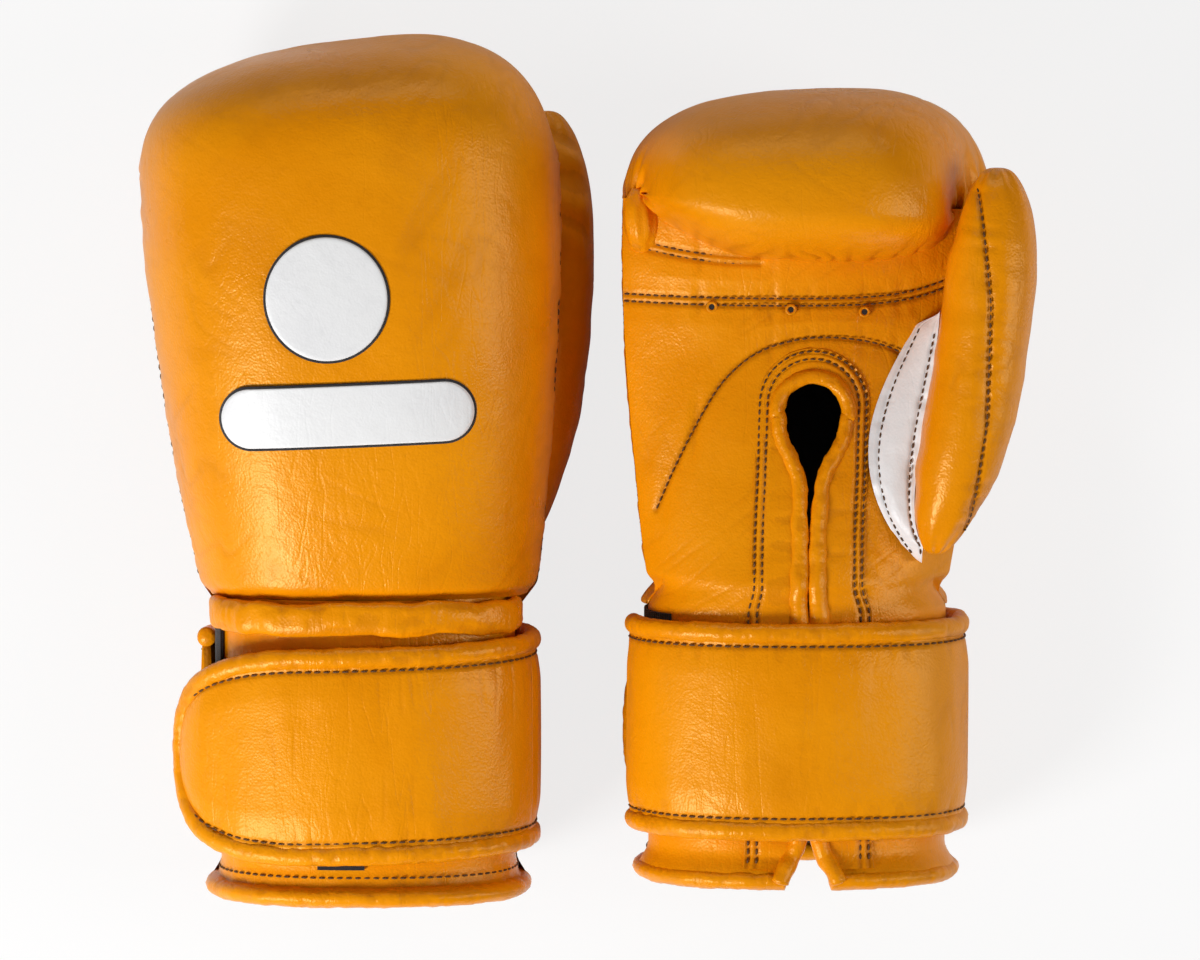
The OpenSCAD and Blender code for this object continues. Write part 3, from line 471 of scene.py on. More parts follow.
# %% Shell
def make_shell(side, seed):
    s = np.concatenate([np.linspace(0, 1, 150, endpoint=False), np.linspace(1, 2, 210)])[:, None]
    v = np.linspace(0, np.pi, 240)[None, :]
    s, v = np.broadcast_arrays(s, v)
    P, q, r = skin(s, v)
    N = normals(P)
    run = arc_length(P, 0).mean(1, keepdims=True) + 0 * v
    across = P[..., 0]
    curl = smooth((np.pi / 2 - q) / 0.9)
    # gathers along both side seams, in the direction of the seam
    wave = np.stack([run / 5.5, r / 24, across / 60], -1)
    gather = noise(wave, 1.0, seed) + 0.5 * noise(wave * 2.1, 1.0, seed + 1)
    reach = mix(24.0, 13.0, curl)
    seam = bump(r, reach) * smooth(r / 2.5)
    lift = 0.62 * seam * gather
    # folds that run to the ends of the pivot line
    folds = np.cos(11 * q + 1.6 * noise(P, 22.0, seed + 2)) * bump(r - 9, 9.0) * curl
    lift += 1.25 * folds
    # pleats on the roll's hind edge
    pitch = across / 9.5 + 0.8 * noise(P, 17.0, seed + 3)
    pleat = np.abs(np.sin(np.pi * pitch))
    hind = smooth((-1.75 - q) / 0.55) * smooth(r / 12)
    lift -= 1.5 * hind * (1 - pleat) ** 1.5 * (0.6 + 0.5 * noise(P, 30.0, seed + 8))
    # soft dents and long creases of stretched leather
    lift += 0.8 * noise(P, 46.0, seed + 4) * smooth(r / 20)
    lift += 0.28 * noise(P * [1, 0.45, 1], 15.0, seed + 5) * smooth(r / 12)
    lines = wrinkles(P, 9.0, 7.0, -38, seed + 6) + 0.7 * wrinkles(P, 7.0, 8.0, 62, seed + 7)
    lift -= 0.20 * lines * smooth(r / 10)
    # the wrist end is turned in, under the rolled band
    lift -= 3.2 * bump(run, 3.2)
    P = P + N * lift[..., None]
    # the roll's end by the little finger is drawn up into the side pit
    little = smooth((-across - 22) / 40) * smooth((-1.2 - q) / 0.8)
    P[..., 1] += 7.0 * little
    # painted shade: pleat valleys, crease lines, the side seams, the turned-in wrist end and the valleys of gathers and
    # folds are darkened
    painted_shade = np.clip(
        0.55 * hind * (1 - pleat) + 0.16 * lines + 0.4 * bump(r, 4.0) + 0.5 * bump(run, 2.5)
        + 0.3 * seam * (gather < -0.25) + 0.35 * curl * bump(r - 9, 8.0) * (folds < -0.3), 0, 1)
    obj = put_grid(f"{side}_leather_shell", P, side, painted_shade=painted_shade)
    return own(obj, side, "glove", ("main_shell", "knuckle_foam"), material=AMBER)


for i, side in enumerate(SIDES):
    shell = make_shell(side, 11 + 20 * i)
    print(shell.name, len(shell.data.polygons), "faces")

# %% [markdown]
# ## The tab at the roll's corner
#
# Where the roll ends by the little finger, a folded tab of leather closes the corner between the
# shell and the palm. It is a small cushion: a flattened ball with folds pressed in.

# %% Corner tab
def make_tab(side, seed):
    v = np.linspace(0, np.pi, 40)[:, None]
    a = np.linspace(0, 2 * np.pi, 60, endpoint=False)[None, :]
    ball = np.stack([np.sin(v) * np.cos(a), -np.cos(v) + 0 * a, np.sin(v) * np.sin(a)], -1)
    fold = noise(ball * [3.2, 0.9, 3.2], 1.0, seed) * np.sin(v) ** 0.5
    size = np.array([7.5, 13.0, 7.0])
    P = ball * (1 + 0.10 * fold[..., None]) * size
    c, s = math.cos(0.12), math.sin(0.12)
    P = np.stack([c * P[..., 0] - s * P[..., 1], s * P[..., 0] + c * P[..., 1], P[..., 2]], -1)
    P = P + [-(half_w(245.0) - 7.6), 246.5, SEAM_Z - 3.5]
    # painted shade in the pressed-in folds of the tab
    painted_shade = np.clip(0.35 * (fold < -0.25), 0, 1)
    return own(put_grid(f"{side}_corner_tab", P[:, ::-1], side, wrap=True, painted_shade=painted_shade), side, "glove", material=AMBER)


for i, side in enumerate(SIDES):
    make_tab(side, 251 + i)

# %% [markdown]
# ## The palm side
#
# Cuff and palm share one underside surface. It bulges in the palm and runs down to the oval cuff.
# `outline` gives the keyhole and the slit below it, for a given distance outside its edge.

# %% Underside surface and keyhole outline
def palm_z(x, y):
    belly = mix(CUFF_B + 1 + SEAM_Z, BELLY, np.sin(np.pi / 2 * np.minimum(1, 1.6 * along(y))))
    return SEAM_Z - GAP - belly * (1 - np.minimum(1, np.abs(x) / half_w(y)) ** 2.6)


def cuff_low_z(x):
    return -CUFF_B * (1 - np.minimum(1, np.abs(x) / CUFF_A) ** CUFF_N) ** (1 / CUFF_N)


def under_z(x, y):
    return mix(cuff_low_z(x), palm_z(x, y), smooth((y - WRIST_Y + 8) / 12))


def flare(y):
    """How far the cuff stands out near its hem."""
    return HEM_FLARE * (1 - smooth((y - HEM_R) / (HEM_R + GAP + 6)))


def under(x, y, out=0.0):
    """Points of the underside surface, out millimetres outside it along its own normal."""
    x, y = np.broadcast_arrays(np.asarray(x, float), np.asarray(y, float))
    e = 0.2
    z = under_z(x, y)
    n = np.stack([(under_z(x + e, y) - z) / e, (under_z(x, y + e) - z) / e, -np.ones_like(z)], -1)
    n /= np.linalg.norm(n, axis=-1, keepdims=True)
    return np.stack([x, y, z], -1) + n * (np.asarray(out) + flare(y))[..., None], n


def slit_half(y):
    return SLIT_W / 2 + SLIT_FLARE * (1 - smooth(y / 18))


def neck_half(y, d):
    low = KEY_Y - 2.6 * KEY_R
    t = smooth((y - low) / (KEY_Y - 0.35 * KEY_R - low))
    return mix(slit_half(y) + d, (KEY_R + d) * 0.94, t)


def outline(d, y0, n_side=120, n_top=60):
    """Keyhole and slit as one open line, from the little-finger side of the slit at y0, over the top
    of the hole and back down."""
    y = np.linspace(y0, KEY_Y - 0.1 * KEY_R, n_side)
    q = np.linspace(math.radians(-5), math.pi / 2, n_top)
    half = np.concatenate([neck_half(y, d), (KEY_R + d) * np.cos(q)])
    height = np.concatenate([y, KEY_Y + (KEY_R + d) * np.sin(q)])
    left = np.stack([KEY_X - half, height], -1)
    right = np.stack([KEY_X + half, height], -1)
    return np.concatenate([left, right[-2::-1]])


def distance(P, path):
    """Distance in the plane from each point of P to the line through path."""
    a, b = path[:-1], path[1:]
    d = b - a
    flat = P.reshape(-1, 1, 2)
    t = np.clip(((flat - a) * d).sum(-1) / np.maximum((d * d).sum(-1), 1e-9), 0, 1)
    near = np.linalg.norm(flat - (a + t[..., None] * d), axis=-1).min(1)
    return near.reshape(P.shape[:-1])


def curve(points, n=90):
    """Smooth line through a few given points (Catmull-Rom)."""
    p = np.asarray(points, float)
    p = np.concatenate([[2 * p[0] - p[1]], p, [2 * p[-1] - p[-2]]])
    t = np.linspace(0, len(p) - 3 - 1e-6, n)
    i = t.astype(int)
    f = (t - i)[:, None]
    a, b, c, d = p[i], p[i + 1], p[i + 2], p[i + 3]
    return 0.5 * (2 * b + (c - a) * f + (2 * a - 5 * b + 4 * c - d) * f**2 + (3 * b - a - 3 * c + d) * f**3)


# %% [markdown]
# ## Stitches
#
# A seam is a row of short threads. One thread is a long bead with 5 rings of 6 points, and the whole
# row is that bead moved along the line in one array operation. The leather under it gets a groove.

# %% Rows of stitches
def bead(length, radius):
    """Points and faces of one thread: rings of 6, thick in the middle and pointed at the ends."""
    t = np.array([-1, -0.8, 0, 0.8, 1.0])
    w = np.array([0.15, 0.8, 1, 0.8, 0.15])
    q = np.arange(6) * np.pi / 3
    rings = np.stack([
        np.repeat(t[:, None] * length / 2, 6, 1),
        w[:, None] * np.cos(q) * radius,
        w[:, None] * np.sin(q) * radius - 0.35 * radius * np.abs(t[:, None]),
    ], -1)
    return rings.reshape(-1, 3), grid_faces(5, 6, True)


def spaced(path, pitch):
    """Points, directions and row numbers at an even pitch along a line of points."""
    step = np.linalg.norm(np.diff(path, axis=0), axis=1)
    run = np.concatenate([[0], np.cumsum(step)])
    at = np.arange(pitch / 2, run[-1], pitch)
    where = np.stack([np.interp(at, run, path[:, k]) for k in range(3)], -1)
    ahead = np.stack([np.interp(at + 0.5, run, path[:, k]) for k in range(3)], -1)
    behind = np.stack([np.interp(at - 0.5, run, path[:, k]) for k in range(3)], -1)
    way = ahead - behind
    return where, way / np.maximum(np.linalg.norm(way, axis=1, keepdims=True), 1e-9), at / run[-1]


def put_stitches(name, rows, side, pitch=3.3, length=2.3, radius=0.42, material=None):
    """rows is a list of (points, outward directions) in a glove's own frame."""
    beads, faces = bead(length, radius)
    verts = []
    for path, out in rows:
        where, way, _ = spaced(path, pitch)
        nearest = np.linalg.norm(where[:, None] - path[None], axis=-1).argmin(1)
        up = out[nearest]
        up = up - (up * way).sum(1, keepdims=True) * way
        up /= np.linalg.norm(up, axis=1, keepdims=True)
        b = np.cross(up, way)
        verts.append(
            where[:, None] + beads[None, :, :1] * way[:, None] + beads[None, :, 1:2] * b[:, None]
            + beads[None, :, 2:] * up[:, None]
        )
    verts = np.concatenate(verts)
    n = len(verts)
    faces = (faces[None] + (np.arange(n) * len(beads))[:, None, None]).reshape(-1, 4)
    if side == "right":
        faces = faces[:, ::-1]
    obj = put_mesh(name, lay(verts, side).reshape(-1, 3), faces)
    obj.data.materials.append(material or THREAD)
    return obj


# %% [markdown]
# ## Palm, band and keyhole
#
# The palm is a grid over the underside. Its seams are lines drawn on it: the double seam below the
# roll, an arc over the keyhole panel, and the panel's own double outline. Each presses a groove. The
# quads inside the keyhole are left out, and the rolled binding covers the cut edge.

# %% Seam lines of the palm
def offset_line(path, d):
    """The line moved d millimetres to its left."""
    way = np.gradient(path, axis=0)
    way /= np.linalg.norm(way, axis=1, keepdims=True)
    return path + d * np.stack([-way[:, 1], way[:, 0]], -1)


def panel_line(d, y0):
    """Outline of the keyhole panel: two straight legs and an arch, d inside its edge."""
    r = KEY_PANEL_R - d
    y = np.linspace(y0, KEY_Y + 3, 150)
    q = np.linspace(0, np.pi, 90)
    left = np.stack([KEY_X - r + 0 * y, y], -1)
    arch = np.stack([KEY_X - r * np.cos(q), KEY_Y + 3 + r * np.sin(q)], -1)
    return np.concatenate([left, arch[1:-1], (left * [-1, 1] + [2 * KEY_X, 0])[::-1]])


double_seam = curve([(-73, 217.5), (-40, 217.5), (0, 218.5), (25, 220), (42, 223), (56, 228)])
short_seam = curve([(-64, 238), (-50, 235.5), (-34, 234), (-20, 234)])
arc_seam = curve([(-57, 134), (-50, 152), (-40, 173), (-31, 187), (-18, 197.5), (0, 203), (20, 203), (36, 199), (45, 191)])
palm_seams = [double_seam, offset_line(double_seam, -2.8), short_seam, offset_line(short_seam, -2.6), arc_seam]


def palm_relief(x, y, seed):
    """Relief of the palm's leather, and the painted shade of its seam grooves, wrinkles and gather valleys."""
    P2 = np.stack([x, y], -1)
    P3 = np.stack([x, y, 0 * x], -1)
    near = np.min([distance(P2, line) for line in palm_seams], axis=0)
    groove = bump(near, 1.1)
    # soft swelling between the seams, with gathers that run away from them
    puff = 0.9 * smooth(near / 9)
    gather = noise(np.stack([x / 3.6, near / 16, 0 * x], -1), 1.0, seed) * bump(near - 1.5, 7.0)
    from_slit = np.abs(x - KEY_X)
    pull = noise(np.stack([y / 5.2 + 0.5 * from_slit / 9, from_slit / 22, 0 * x], -1), 1.0, seed + 1)
    pull = pull * bump(from_slit - 14, 12.0) * smooth((170 - y) / 30)
    dents = noise(P3, 24.0, seed + 2)
    fine = wrinkles(P3, 6.0, 6.0, 30, seed + 3) + wrinkles(P3, 6.0, 6.0, -50, seed + 4)
    out = puff - 0.75 * groove + 0.30 * gather + 0.48 * pull + 0.6 * dents - 0.15 * fine
    # painted shade: seam grooves, fine wrinkles and gather valleys are darkened
    painted_shade = np.clip(0.65 * groove + 0.12 * fine + 0.18 * (gather < -0.35) * bump(near - 1.5, 7.0), 0, 1)
    return out, painted_shade


# %% Palm and finger band
def make_palm(side, seed):
    y = np.concatenate([np.linspace(4.0, 92, 60), np.linspace(92.6, 255, 260)])[:, None]
    c = np.sin(np.linspace(-1, 1, 300) * np.pi / 2 * 0.985)[None, :]
    edge = mix(CUFF_A, half_w(y), smooth((y - WRIST_Y + 8) / 12)) - 0.2
    x = c * edge
    y = y + 0 * x
    relief, painted_shade = palm_relief(x, y, seed)
    # the palm tucks under the roll in front, and fades into the cuff behind
    pillow = np.sqrt(1 - np.abs(c) ** 6)
    relief = relief * smooth((y - 88) / 14) * pillow
    P, N = under(x, y, relief + 0.15)
    band = smooth((y - BAND_SEAM_Y - 1) / 14)
    P = P + N * (1.2 * band * pillow)[..., None]
    hole = inside_keyhole(x, y, BIND_R)
    keep = ~(hole[:-1, :-1] | hole[1:, :-1] | hole[:-1, 1:] | hole[1:, 1:])
    obj = put_grid(f"{side}_palm_leather", P[:, ::-1], side, painted_shade=painted_shade[:, ::-1], keep=keep[:, ::-1])
    return own(obj, side, "glove", ("palm_panel", "palm_pad", "finger_band"), material=AMBER)


def inside_keyhole(x, y, d):
    """True where a point lies in the keyhole or slit, grown by d."""
    off = np.abs(x - KEY_X)
    neck = (off < neck_half(y, d)) & (y < KEY_Y)
    return neck | (np.hypot(off, y - KEY_Y) < KEY_R + d)


for i, side in enumerate(SIDES):
    palm = make_palm(side, 211 + 20 * i)
    print(palm.name, len(palm.data.polygons), "faces")


# %% [markdown]
# The reinforcement panel is a second layer of leather. Its grid runs along the arch, with columns
# from its outer edge in to the binding, so both edges are clean. The binding is a soft tube, wider
# than it is high, whose two sides press together along the slit.

# %% Keyhole panel and binding
def match(path, n):
    """The line as n points at even steps."""
    step = np.linalg.norm(np.diff(path, axis=0), axis=1)
    run = np.concatenate([[0], np.cumsum(step)]) / step.sum()
    t = np.linspace(0, 1, n)
    return np.stack([np.interp(t, run, path[:, k]) for k in range(path.shape[1])], -1)


def make_keyhole_panel(side, seed):
    legs = 7.5
    outer = match(panel_line(0, legs), 560)
    # inner edge: the binding's line, matched leg to leg and arch to arch
    inner = np.concatenate([
        np.stack([KEY_X + np.sign(outer[:, 0] - KEY_X) * neck_half(outer[:, 1], BIND_R), outer[:, 1]], -1)
    ])
    arch = outer[:, 1] > KEY_Y - 0.35 * KEY_R
    q = np.arctan2(outer[:, 1] - KEY_Y, outer[:, 0] - KEY_X)
    ring = np.stack([KEY_X + (KEY_R + BIND_R) * np.cos(q), KEY_Y + (KEY_R + BIND_R) * np.sin(q)], -1)
    inner[arch] = ring[arch]
    w = np.concatenate([[0, 0], np.linspace(0.0, 1, 60)])[None, :, None]
    flat = mix(outer[:, None], inner[:, None], w)
    x, y = flat[..., 0], flat[..., 1]
    from_edge = np.linalg.norm(flat - outer[:, None], axis=-1)
    P3 = np.stack([x, y, 0 * x], -1)
    lines = [panel_line(1.6, legs), panel_line(4.6, legs)]
    near = np.min([distance(flat, line) for line in lines], axis=0)
    groove = bump(near, 0.9)
    off = np.hypot(x - KEY_X, np.maximum(0, y - KEY_Y))
    run = np.where(y > KEY_Y, KEY_Y + np.abs(np.arctan2(x - KEY_X, y - KEY_Y)) * 14, y)
    rays = noise(np.stack([run / 3.4, off / 16, np.sign(x - KEY_X)], -1), 1.0, seed) * smooth(1 - (off - 8) / 15)
    dents = noise(P3, 17.0, seed + 1)
    up = 1.25 + 0.55 * smooth(from_edge / 5) - 0.6 * groove + 0.35 * rays + 0.45 * dents * smooth(from_edge / 4)
    up = up * smooth((from_edge + 0.35) / 0.9)
    up[:, 0] = -0.6
    P, _ = under(x, y, up)
    # painted shade in the seam grooves, along the panel's edge and in the fold valleys
    painted_shade = np.clip(0.6 * groove + 0.5 * bump(from_edge, 0.6) + 0.25 * (rays < -0.35), 0, 1)
    obj = put_grid(f"{side}_keyhole_leather", P[::-1], side, painted_shade=painted_shade[::-1])
    return own(obj, side, "glove", ("keyhole_panel",), material=AMBER)


def tube(path, out, wide, high, sides=18, close=True):
    """Grid of a tube along a line: out points away from the surface that it lies on."""
    way = np.gradient(path, axis=0)
    way /= np.linalg.norm(way, axis=1, keepdims=True)
    up = out - (out * way).sum(1, keepdims=True) * way
    up /= np.linalg.norm(up, axis=1, keepdims=True)
    b = np.cross(way, up)
    q = np.arange(sides) / sides * 2 * np.pi
    wide, high = np.broadcast_to(wide, len(path)), np.broadcast_to(high, len(path))
    P = path[:, None] + wide[:, None, None] * np.cos(q)[None, :, None] * b[:, None] \
        + high[:, None, None] * np.sin(q)[None, :, None] * up[:, None]
    if close:
        ends = [np.repeat(P[k].mean(0)[None], sides, 0)[None] for k in (0, -1)]
        near = [mix(P[k], P[k].mean(0), 0.5)[None] - way[k] * f for k, f in ((0, 0.7), (-1, -0.7))]
        tips = [ends[0] - way[0] * 0.9, near[0], P, near[1], ends[1] + way[-1] * 0.9]
        P = np.concatenate(tips)
    return P


def gathered(P, pitch, depth, seed):
    """Presses fine cross folds into a tube's grid, and gives the painted shade of their valleys."""
    N = normals(P, wrap=True)
    run = arc_length(P, 0).mean(1, keepdims=True) + 0 * P[..., 0]
    turn = np.linspace(0, 1, P.shape[1], endpoint=False)[None, :] + 0 * run
    f = noise(np.stack([run / pitch, np.cos(2 * np.pi * turn), np.sin(2 * np.pi * turn)], -1), 1.0, seed)
    f = f + 0.6 * noise(np.stack([run / (pitch * 0.4), 2 * np.cos(2 * np.pi * turn), 2 * np.sin(2 * np.pi * turn)], -1), 1.0, seed + 1)
    # the very ends stay whole
    hold = np.minimum(np.arange(len(P)), np.arange(len(P))[::-1])[:, None] / 6
    # painted shade where the folds are pressed in
    return P - N * (depth * f * np.clip(hold, 0, 1))[..., None], np.clip(f * 0.35, 0, 0.5)


def make_binding(side, seed):
    flat = match(outline(BIND_R, 3.0), 520)
    slit = smooth((KEY_Y - 30 - flat[:, 1]) / 22) * smooth(flat[:, 1] / 25 - 0.2)
    # along the slit the two sides lie against each other
    flat[:, 0] -= np.sign(flat[:, 0] - KEY_X) * 0.75 * slit
    path, out = under(flat[:, 0], flat[:, 1], 0.7)
    P = tube(path, out, BIND_R + 0.35 + 0.45 * slit, BIND_R + 0.1)
    P, painted_shade = gathered(P, 4.6, 0.36, seed)
    obj = put_grid(f"{side}_keyhole_roll", P, side, wrap=True, painted_shade=painted_shade)
    return own(obj, side, "glove", ("keyhole_binding",), material=AMBER)


for i, side in enumerate(SIDES):
    make_keyhole_panel(side, 311 + 20 * i)
    make_binding(side, 331 + 20 * i)


# %% Stitches of the palm
def on_palm(line, up):
    return under(line[:, 0], line[:, 1], up)


for side in SIDES:
    rows = [on_palm(line, 0.35) for line in palm_seams]
    rows += [on_palm(panel_line(d, 9.0), 1.45) for d in (1.6, 4.6)]
    obj = put_stitches(f"{side}_palm_stitches", rows, side, 3.1, 2.2, 0.40)
    own(obj, side, "glove")


# %% [markdown]
# ## Thumb
#
# The thumb is a padded tube that bows outwards and closes to a round tip at both ends. A ridge seam
# runs up the side that faces the palm. Short gathers cross it, and long soft folds lie where the
# thumb bends.

# %% Thumb surface
def thumb_axis(u, side):
    return np.stack([
        THUMB_ROOT_X + THUMB_SWEEP * np.sin(np.radians(95 * u)) + THUMB_OUT[side] * smooth(u / 0.5),
        THUMB_Y + THUMB_LEN * u,
        -THUMB_DROP - THUMB_SLOPE * (u - 0.5),
    ], -1)


def thumb_half(u):
    return THUMB_R * np.sqrt(np.maximum(0, 1 - np.abs(2 * u**THUMB_SKEW - 1) ** 3))


def thumb_skin(u, a, side):
    r = thumb_half(u)
    c = thumb_axis(u, side)
    x, z = r * spow(np.cos(a), 0.9), THUMB_DEPTH * r * spow(np.sin(a), 0.9)
    return c + np.stack([x, 0 * x, z], -1)


def thumb_seam_x(y):
    """Where the ridge seam runs on the palm side of the thumb."""
    return np.interp(y, [118, 138, 174, 220, 250, 275], [62, 66, 69.5, 69, 65, 61])


def make_thumb(side, seed):
    u = ((1 - np.cos(np.linspace(0, np.pi, 230))) / 2)[:, None]
    a = np.linspace(0, 2 * np.pi, 180, endpoint=False)[None, :]
    u, a = np.broadcast_arrays(u, a)
    P = thumb_skin(u, a, side)
    N = normals(P, wrap=True)
    x, y, z = P[..., 0], P[..., 1], P[..., 2]
    r = thumb_half(u)
    # distance along the skin from the ridge seam, which lies on the palm's side of the thumb
    below = z < thumb_axis(u, side)[..., 2] - 0.25 * r
    near = np.where(below, np.abs(x - thumb_seam_x(y)), 30.0)
    groove = bump(near, 1.0) * smooth((0.97 - u) / 0.05) * smooth(u / 0.05)
    gather = noise(np.stack([y / 3.4, near / 14, 0 * x], -1), 1.0, seed) * bump(near - 1.5, 8.0)
    ends = np.cos(9 * a + 1.2 * noise(P, 15.0, seed + 1)) * bump(r - 6, 5.0)
    inner = bump(np.cos(a) * 1.0 + 1.0, 0.55)
    folds = noise(P * [1, 2.2, 1], 20.0, seed + 2)
    lines = wrinkles(P, 6.0, 6.0, 75, seed + 3) + 0.6 * wrinkles(P, 6.0, 7.0, -20, seed + 4)
    # deep folds on the side that faces the back of the hand, near the tip
    web = bump(u - 0.86, 0.16) * smooth(np.sin(a) * 1.4) * np.cos(y / 2.6 + x / 5 + 2.2 * noise(P, 12.0, seed + 6))
    lift = -0.9 * groove + 0.75 * smooth(near / 7) * bump(near, 22.0) + 0.32 * gather
    lift = lift + 0.35 * ends + (0.35 + 0.5 * inner) * folds + 0.5 * noise(P, 34.0, seed + 5) - 0.18 * lines
    lift = lift + 0.7 * web
    P = P + N * (lift * smooth(r / 6))[..., None]
    # painted shade: the seam groove, crease lines, gather valleys and the web's folds are darkened
    painted_shade = np.clip(0.6 * groove + 0.16 * lines + 0.2 * (gather < -0.3) * bump(near, 8.0) + 0.3 * (web < -0.3), 0, 1)
    obj = put_grid(f"{side}_thumb_leather", P, side, wrap=True, painted_shade=painted_shade)
    own(obj, side, "thumb", ("thumb_shell", "thumb_foam"), material=AMBER)
    # the seam's stitches sit in the groove
    v = np.linspace(0.05, 0.95, 240)
    sx = thumb_seam_x(THUMB_Y + THUMB_LEN * v)
    c, rr = thumb_axis(v, side), thumb_half(v)
    share = np.clip((sx - c[:, 0]) / np.maximum(rr, 1), -0.999, 0.999)
    ang = -np.arccos(spow(share, 1 / 0.9))
    line = thumb_skin(v, ang, side)
    out = line - c
    out /= np.linalg.norm(out, axis=1, keepdims=True)
    out[:, 1] = 0
    return own(put_stitches(f"{side}_thumb_stitches", [(line - out * 0.35, out)], side, 3.2, 2.2, 0.4), side, "thumb")


for i, side in enumerate(SIDES):
    make_thumb(side, 411 + 20 * i)


# %% [markdown]
# ## Gusset and thumb lock
#
# A crescent of white glazed leather closes the gap between palm and thumb, with a row of dark
# stitches on each long edge. On the other side a short tab holds the thumb to the fist.

# %% Gusset and lock
GUSSET_Y0, GUSSET_Y1 = WRIST_Y + 9, BAND_SEAM_Y - 3


def gusset(t, w, lift, side):
    """t runs up the strip and w from the thumb to the palm."""
    y = mix(GUSSET_Y0, GUSSET_Y1, t)
    u = np.maximum(0.02, (y - THUMB_Y) / THUMB_LEN)
    c = thumb_axis(u, side)
    out = np.stack([c[..., 0] - thumb_half(u) - 0.5, y, c[..., 2] + 5], -1)
    x = THUMB_ROOT_X - 6 - 20 * np.sin(np.pi * t**0.85)
    inner = np.stack([x, y, under_z(x, y) - GAP], -1)
    P = mix(out, inner, w[..., None])
    P[..., 2] -= lift
    return P


def make_gusset(side, seed):
    t = np.linspace(0.0, 1, 190)[:, None]
    w = np.linspace(-0.04, 1.10, 60)[None, :]
    t, w = np.broadcast_arrays(t, w)
    y = mix(GUSSET_Y0, GUSSET_Y1, t)
    edge = np.minimum(w, 1 - w)
    ripple = noise(np.stack([y / 4.2, w * 2.2, 0 * w], -1), 1.0, seed) * bump(edge - 0.06, 0.30)
    big = noise(np.stack([y / 17, w * 1.6, 0 * w], -1), 1.0, seed + 1)
    groove = bump(w - 0.86, 0.05) + bump(w - 0.12, 0.05)
    lift = 1.9 + 1.6 * np.sin(np.pi * np.clip(w, 0, 1)) * np.sin(np.pi * t) + 0.5 * ripple + 0.7 * big - 0.5 * groove
    w = w * smooth((1 - t) / 0.07)
    P = gusset(t, w, lift * np.clip(np.minimum(t, 1 - t) * 14, 0.55, 1), side)
    # painted shade in the stitch grooves and ripple valleys
    painted_shade = np.clip(0.35 * groove + 0.15 * (ripple < -0.35), 0, 1)
    obj = put_grid(f"{side}_gusset_leather", P[:, ::-1], side, painted_shade=painted_shade)
    own(obj, side, "glove", ("thumb_gusset",), WHITE)
    v = np.linspace(0.03, 0.92, 160)
    rows = []
    for w0 in (0.86, 0.12):
        line = gusset(v, np.full_like(v, w0), 2.3 * np.ones_like(v), side)
        rows.append((line, np.tile([0, 0, -1.0], (len(v), 1))))
    return own(put_stitches(f"{side}_gusset_stitches", rows, side, 3.1, 2.1, 0.38), side, "glove")


def make_lock(side):
    at = np.array([thumb_axis(0.75, side)[0] + 1, PIVOT_Y - 18, 0])
    u = (at[1] - 8 - THUMB_Y) / THUMB_LEN
    low = thumb_axis(u, side)[2] + THUMB_DEPTH * thumb_half(u) - 2.0
    high = SEAM_Z + 2.0
    t = np.linspace(0, 1, 26)[:, None]
    q = -np.linspace(0, 2 * np.pi, 40, endpoint=False)[None, :]
    r = 1 - 0.16 * np.sin(np.pi * t) + 0.03 * np.cos(9 * q)
    P = np.stack([at[0] + 3.5 * r * np.cos(q), at[1] + 8 * r * np.sin(q), mix(low, high, t) + 0 * q], -1)
    # painted shade: the whole tab, between thumb and fist, is darkened by a flat 0.3
    obj = put_grid(f"{side}_lock_leather", P, side, wrap=True, painted_shade=np.clip(0.3 + 0 * P[..., 0], 0, 1))
    return own(obj, side, "glove", ("thumb_lock",), material=AMBER)


for i, side in enumerate(SIDES):
    make_gusset(side, 511 + 20 * i)
    make_lock(side)


# %% [markdown]
# ## Cuff, hem and wrist band
#
# The cuff is an oval tube. A soft band is rolled over its upper end on the back of the hand, and a
# thick piping closes its hem. The cuff's leather shows below the strap and inside the slit's flare.

# %% Cuff
def cuff_pt(d, a):
    """Point of the cuff's oval, d outside it, in the direction a."""
    return (CUFF_A + d) * spow(np.cos(a), 2 / CUFF_N), (CUFF_B + d) * spow(np.sin(a), 2 / CUFF_N)


def even_turn(d, a0, a1, n):
    """Angles from a0 to a1 whose points on the oval lie at even steps."""
    a = np.linspace(a0, a1, 4000)
    x, z = cuff_pt(d, a)
    run = np.concatenate([[0], np.cumsum(np.hypot(np.diff(x), np.diff(z)))])
    return np.interp(np.linspace(0, run[-1], n), run, a)


def low_angle(x):
    return -np.arccos(spow(x / CUFF_A, CUFF_N / 2))


